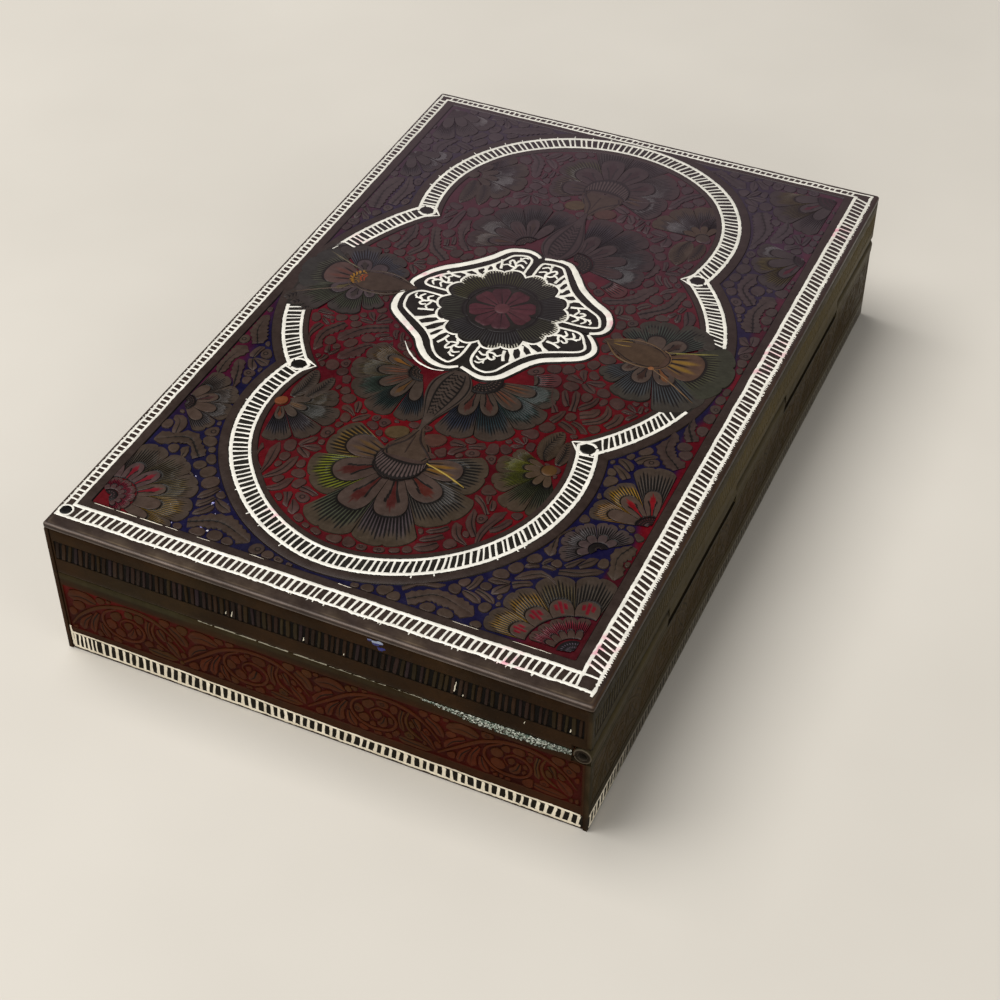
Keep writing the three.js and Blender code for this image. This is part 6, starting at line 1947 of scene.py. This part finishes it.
def knuckle(name, node, y0, y1, body, seam_deg):
    """A strip rolled into a tube: its two long edges meet at an open seam, and the ends are filed flat."""
    R = Relief()
    n = 40
    gap = 5.0
    a = np.radians(seam_deg + gap + np.linspace(0, 360 - 2 * gap, n))
    ro = 1.585 - 0.05 * np.exp(-((np.linspace(0, 1, n) / 0.05) ** 2)) - 0.05 * np.exp(-(((1 - np.linspace(0, 1, n)) / 0.05) ** 2))
    ri = np.full(n, 0.79)
    sec = np.r_[np.c_[ro * np.cos(a), ro * np.sin(a)], np.c_[ri * np.cos(a), ri * np.sin(a)][::-1]]
    shrink = np.r_[np.full(n, 1.0), np.full(n, -1.0)]
    rad = np.hypot(sec[:, 0], sec[:, 1])
    rows, cols, kind = [], [], []
    ys = [(y0, 0.10), (y0 + 0.03, 0.05), (y0 + 0.12, 0.0)] + [(y, 0.0) for y in np.linspace(y0 + 1.0, y1 - 1.0, max(3, int((y1 - y0) / 3)))] + [(y1 - 0.12, 0.0), (y1 - 0.03, 0.05), (y1, 0.10)]
    for y, c in ys:
        k = (rad - shrink * c * 0.9) / rad
        p = sec * k[:, None]
        rows.append(np.c_[np.full(len(p), y), p])           # (y, x', z')
        outer = shrink > 0
        wn = 0.5 + 0.5 * wob(np.full(len(p), y), a[0] + np.arange(len(p)) * 0.2, 95, 0.6)
        # the inside of the tube is painted dark as shade in the bore
        t = np.where(outer[:, None], mixc(srgb(72, 63, 39), srgb(56, 48, 30), wn), srgb(44, 36, 28))
        t = mixc(t, srgb(128, 120, 108), np.where(outer, 0.30 if c > 0 else 0.10 * wn, 0.1))
        cols.append(t)
        kind.append(np.where(c > 0, 0.25, 0.10 * wn))
    P3, C3, K3 = np.array(rows), np.array(cols), np.array(kind)
    m, k = P3.shape[:2]
    base = R.add(P3.reshape(-1, 3), C3.reshape(-1, 3), K3.reshape(-1))
    ix = np.arange(m * k).reshape(m, k)
    jx = np.concatenate([ix, ix[:, :1]], 1)
    # (y, x, z) is placed as (x, y, z): the handedness turns, so the winding is set to face outwards here
    q = np.stack([jx[:-1, :-1], jx[1:, :-1], jx[1:, 1:], jx[:-1, 1:]], -1).reshape(-1, 4)
    R.q.append(q + base)
    for r_, rev in ((0, False), (m - 1, True)):
        # the filed end: a thin pale rim, then painted shade darkening down to the bore
        ends = [P3[r_, :n]]
        for f_ in (0.93, 0.88):
            q_ = P3[r_, :n].copy()
            q_[:, 1:] *= f_
            ends.append(q_)
        ends.append(P3[r_, n:][::-1])
        tn_ = (srgb(92, 84, 72), srgb(80, 72, 62), srgb(40, 33, 27), srgb(26, 21, 17))
        e0 = [R.add(e_, t_, 0.25) for e_, t_ in zip(ends, tn_)]
        for a_, b_ in zip(e0[:-1], e0[1:]):
            j = np.arange(n - 1)
            f = np.stack([a_ + j, a_ + j + 1, b_ + j + 1, b_ + j], -1)
            R.q.append(f[:, ::-1] if rev else f)
    ob = R.build(name, lambda v: np.c_[HX + v[:, 1], v[:, 0], HZ + v[:, 2]], body, MAT_WALL, sharp=35)
    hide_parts(node)
    return ob


knuckle("hinge_barrel_base_front", "hinge_knuckle_base_front", -76.95, -43.15, "base", 196)
knuckle("hinge_barrel_lid_front", "hinge_knuckle_lid_front", -42.85, -9.15, "lid", 164)
knuckle("hinge_barrel_base_middle", "hinge_knuckle_base_middle", -8.85, 18.85, "base", 196)
knuckle("hinge_barrel_lid_rear", "hinge_knuckle_lid_rear", 19.15, 51.85, "lid", 164)
knuckle("hinge_barrel_base_rear", "hinge_knuckle_base_rear", 52.15, 76.95, "base", 196)



def apron(name, y0, y1, up, body):
    """The sheet running from its own wall into the rolled knuckle, so that the joint is flush on that side."""
    R = Relief()
    th = np.radians(np.linspace(66, 3, 9))
    sec = np.vstack([[(1.56, 0.08), (1.55, 0.6), (1.52, 1.2), (1.485, 1.72), (0.75, 1.72)], np.c_[1.55 * np.cos(th), 1.55 * np.sin(th)]])
    if up < 0:
        sec = (sec * (1, -1))[::-1]
    ys = np.r_[y0, y0 + 0.1, np.linspace(y0 + 1.5, y1 - 1.5, 9), y1 - 0.1, y1]
    p = np.array([np.c_[np.full(len(sec), y), sec + [0.0, 0.0]] for y in ys])
    # brighter towards the rear as painted reflection; the two end rings are painted darker as shade in the gaps between
    # knuckles
    t = mixc(srgb(72, 63, 39), srgb(56, 48, 30), 0.5 + 0.5 * wob(p[..., 0], p[..., 2], 96, 0.5)) * (0.75 + 0.35 * sstep(-70, -20, p[..., 0]))[..., None]
    t = t * np.where((np.arange(len(ys)) == 0) | (np.arange(len(ys)) == len(ys) - 1), 0.45, 1.0)[:, None, None]
    b0 = R.add(p.reshape(-1, 3), t.reshape(-1, 3), 0.0)
    ix = np.arange(p.shape[0] * p.shape[1]).reshape(p.shape[:2])
    jx = np.concatenate([ix, ix[:, :1]], 1)
    R.q.append(np.stack([jx[:-1, :-1], jx[1:, :-1], jx[1:, 1:], jx[:-1, 1:]], -1).reshape(-1, 4) + b0)
    R.g += [list(ix[0] + b0), list(ix[-1][::-1] + b0)]
    ob = R.build(name, lambda v: np.c_[HX + v[:, 1], v[:, 0], HZ + v[:, 2]], body, MAT_WALL, sharp=35)


apron("hinge_apron_base_front", -76.90, -43.15, -1, "base")
apron("hinge_apron_lid_front", -42.85, -9.15, 1, "lid")
apron("hinge_apron_base_middle", -8.85, 18.85, -1, "base")
apron("hinge_apron_lid_rear", 19.15, 51.85, 1, "lid")
apron("hinge_apron_base_rear", 52.15, 76.90, -1, "base")

R = Relief()
a = np.linspace(0, 2 * math.pi, 20, endpoint=False)
rows = []
for y, r in [(-75.0, 0.2), (-74.98, 0.45), (-74.9, 0.62), (-74.75, 0.685)] + [(y, 0.688) for y in np.linspace(-70, 70, 24)] + [(74.75, 0.685), (74.9, 0.62), (74.98, 0.45), (75.0, 0.2)]:
    rows.append(np.c_[np.full(20, y), r * np.cos(a), r * np.sin(a)])
P3 = np.array(rows)
base = R.add(P3.reshape(-1, 3), srgb(120, 116, 110), 0.9)
ix = np.arange(P3.shape[0] * 20).reshape(-1, 20)
jx = np.concatenate([ix, ix[:, :1]], 1)
R.q.append(np.stack([jx[:-1, :-1], jx[1:, :-1], jx[1:, 1:], jx[:-1, 1:]], -1).reshape(-1, 4) + base)
R.g += [list(ix[0]), list(ix[-1][::-1])]
pin = R.build("hinge_pin_wire", lambda v: np.c_[HX + v[:, 1], v[:, 0], HZ + v[:, 2]], "base", MAT_PIN, sharp=35)
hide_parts("hinge_pin")

# ---------------------------------------------- wear along the front seam
R = Relief()
r = np.random.default_rng(17)
for _ in range(1250):
    x = 20.5 + 26.0 * r.uniform(0, 1) ** 0.8
    spread = sstep(19, 32, x) * (1.0 - 0.45 * sstep(40, 47, x))
    z = 18.5 - r.uniform(0, 1) ** 1.4 * (0.22 + 1.55 * spread)
    rad = r.uniform(0.05, 0.17) * (0.7 + 0.5 * spread)
    aa = np.linspace(0, 2 * math.pi, 6, endpoint=False)
    e = 1 + r.uniform(-0.3, 0.3, 6)
    col = srgb(34, 38, 31) if r.uniform() < 0.36 else mixc(srgb(92, 108, 92), srgb(224, 226, 214), r.uniform(0, 1) ** 1.2) * (1 - 0.35 * float(sstep(38, 46, x)))
    p = [np.c_[x + rad * f * e * 1.4 * np.cos(aa), np.clip(z + rad * f * e * np.sin(aa), 16.0, 18.56), np.full(6, hh)] for f, hh in ((1.0, -0.03), (0.7, 0.03), (0.3, 0.045))]
    R.grid(np.array(p), np.broadcast_to(col, (3, 6, 3)), loop=True, cap=True)
crust = R.build("base_front_verdigris", FRONT, "base", MAT_CRUST, sharp=80)
R = Relief()
for a0, a1, w in ((-21.1, -18.4, 0.16), (-17.9, -10.0, 0.24), (-9.5, -4.0, 0.24), (-2.9, 3.2, 0.24), (3.7, 7.7, 0.16), (8.2, 14.0, 0.18), (14.5, 20.7, 0.17)):
    stroke(R, wavy(seg((a0, 18.47), (a1, 18.47)), 0.02, 19, 1.2), w, base=-0.10, rise=0.06, rough=0.06, raw=True, tint=srgb(150, 144, 124), kind=0.8)
chips = R.build("base_front_chipped_rim", FRONT, "base", MAT_CUT_AND_GLINT, sharp=70)
R = Relief()
# painted glints: short pale strokes on the lid's front wall
for x, z, dx, dz in ((26.3, 22.9, 0.45, 2.3), (-0.8, 22.6, 0.25, 0.9), (-14.2, 22.5, 0.3, 1.3), (-15.3, 22.7, 0.2, 0.7), (6.6, 22.5, 0.1, 0.4), (38.4, 21.0, 0.2, 0.5), (46.2, 22.6, 0.1, 0.6), (27.8, 22.4, 0.1, 0.4)):
    stroke(R, np.array([(x, z), (x + dx * 0.5, z + dz * 0.5), (x + dx, z + dz)]), 0.16, base=-0.01, rise=0.04, taper=(0.9, 0.2), tint=srgb(220, 212, 190), kind=0.6, step=0.3)
glints = R.build("lid_front_painted_glints", FRONT, "lid", MAT_CUT_AND_GLINT, sharp=70)
# one run of blue lacquer over the front edge
R = Relief()
aa = np.linspace(0, 2 * math.pi, 22, endpoint=False)
blob_r = 0.62 * (1 + 0.22 * np.sin(2 * aa + 0.4) + 0.16 * np.sin(3 * aa) + 0.08 * np.sin(5 * aa + 1))
# the upper half of each drop is painted pale blue-white as a highlight
for cx, cz, k_, top in ((12.9, 27.95, 1.0, 0.85), (13.6, 26.9, 0.7, 0.0), (11.6, 28.2, 0.45, 0.3)):
    R.grid(np.array([np.c_[cx + blob_r * k_ * f * 1.5 * np.cos(aa), cz + blob_r * k_ * f * np.sin(aa), np.full(22, hh)] for f, hh in ((1.0, -0.02), (0.9, 0.03), (0.6, 0.05), (0.2, 0.055))]),
           mixc(np.broadcast_to(srgb(64, 66, 140), (4, 22, 3)), srgb(210, 222, 246), np.broadcast_to((np.sin(aa) > 0.0) * top, (4, 22))), loop=True, cap=True)
blot = R.build("lid_front_blue_run", FRONT, "lid", MAT_TOP, sharp=80)

# ------------------------------------------------ lining, floor plate, felt
GRAIN = {"lid_lining_board": "y", "lid_lining_left": "y", "lid_lining_hinge": "y", "lid_lining_front": "x", "lid_lining_rear": "x",
         "base_lining_board": "y", "base_lining_left": "y", "base_lining_hinge": "y", "base_lining_front": "x", "base_lining_rear": "x", "base_divider": "x"}
for n, g in GRAIN.items():
    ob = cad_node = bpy.data.objects.get(n)
    ob.data.materials.clear()
    ob.data.materials.append(MAT_WOOD_Y if g == "y" else MAT_WOOD_X)
    bv = ob.modifiers.new("eased_edges", "BEVEL")
    bv.width, bv.segments, bv.limit_method, bv.angle_limit = 0.00022, 2, "ANGLE", math.radians(40)
for n, m in (("base_floor_plate", MAT_BRASS), ("base_felt", MAT_FELT)):
    ob = bpy.data.objects.get(n)
    ob.data.materials.clear()
    ob.data.materials.append(m)
    bv = ob.modifiers.new("eased_edges", "BEVEL")
    bv.width, bv.segments, bv.limit_method, bv.angle_limit = 0.00015, 2, "ANGLE", math.radians(40)

# ------------------------------------------------------ floor, light, camera
fm, nt, b = nodes_of("studio_floor")
v = obj_coord(nt)
nt.links.new(mixn(nt, ramp(nt, noise(nt, v, 7, 4), 0.3, 0.7, 0, 1), srgb(206, 200, 190), srgb(196, 190, 180)), b.inputs["Base Color"])
b.inputs["Roughness"].default_value = 0.85
me = bpy.data.meshes.new("floor")
s = 30.0
me.from_pydata([(-s, -s, 0), (s, -s, 0), (s, s, 0), (-s, s, 0)], [], [(0, 1, 2, 3)])
me.materials.append(fm)
floor = bpy.data.objects.new("floor", me)
bpy.context.collection.objects.link(floor)

world = bpy.data.worlds.new("studio")
bpy.context.scene.world = world
world.use_nodes = True
wn = world.node_tree
bg = wn.nodes.get("Background") or wn.nodes.new("ShaderNodeBackground")
bg.inputs["Color"].default_value = (0.92, 0.95, 1.0, 1)
bg.inputs["Strength"].default_value = 0.10
bpy.context.scene.view_settings.view_transform = "Standard"


def area(name, pos, aim, size, power, colour=(1, 1, 1)):
    li = bpy.data.lights.new(name, "AREA")
    li.shape, li.size, li.size_y, li.energy, li.color = "RECTANGLE", size[0], size[1], power, colour
    ob = bpy.data.objects.new(name, li)
    bpy.context.collection.objects.link(ob)
    ob.location = pos
    ob.rotation_mode = "QUATERNION"
    ob.rotation_quaternion = (Vector(aim) - Vector(pos)).to_track_quat("-Z", "Y")
    return ob


area("overhead", (-0.45, -0.10, 1.10), (0, 0, 0.02), (0.9, 0.9), 17.5, (1.0, 0.995, 0.98))
area("front_fill", (0.35, -1.35, 0.55), (0, 0, 0.0), (0.9, 0.5), 8.5, (1.0, 0.985, 0.95))
area("right_fill", (1.40, -0.50, 0.70), (0, 0, 0.0), (0.9, 0.9), 5.5, (1.0, 0.99, 0.97))

cd = bpy.data.cameras.new("camera")
cam = bpy.data.objects.new("camera", cd)
bpy.context.collection.objects.link(cam)
bpy.context.scene.camera = cam
cd.sensor_width, cd.lens = 36.0, 1911.6 * 36.0 / 1000.0
cd.clip_start, cd.clip_end = 0.01, 20
cam.location = Vector((117.05, -258.48, 247.53)) * MM
cam.rotation_mode = "QUATERNION"
cam.rotation_quaternion = (Vector((10.678, -25.086, 14.958)) * MM - cam.location).to_track_quat("-Z", "Y")
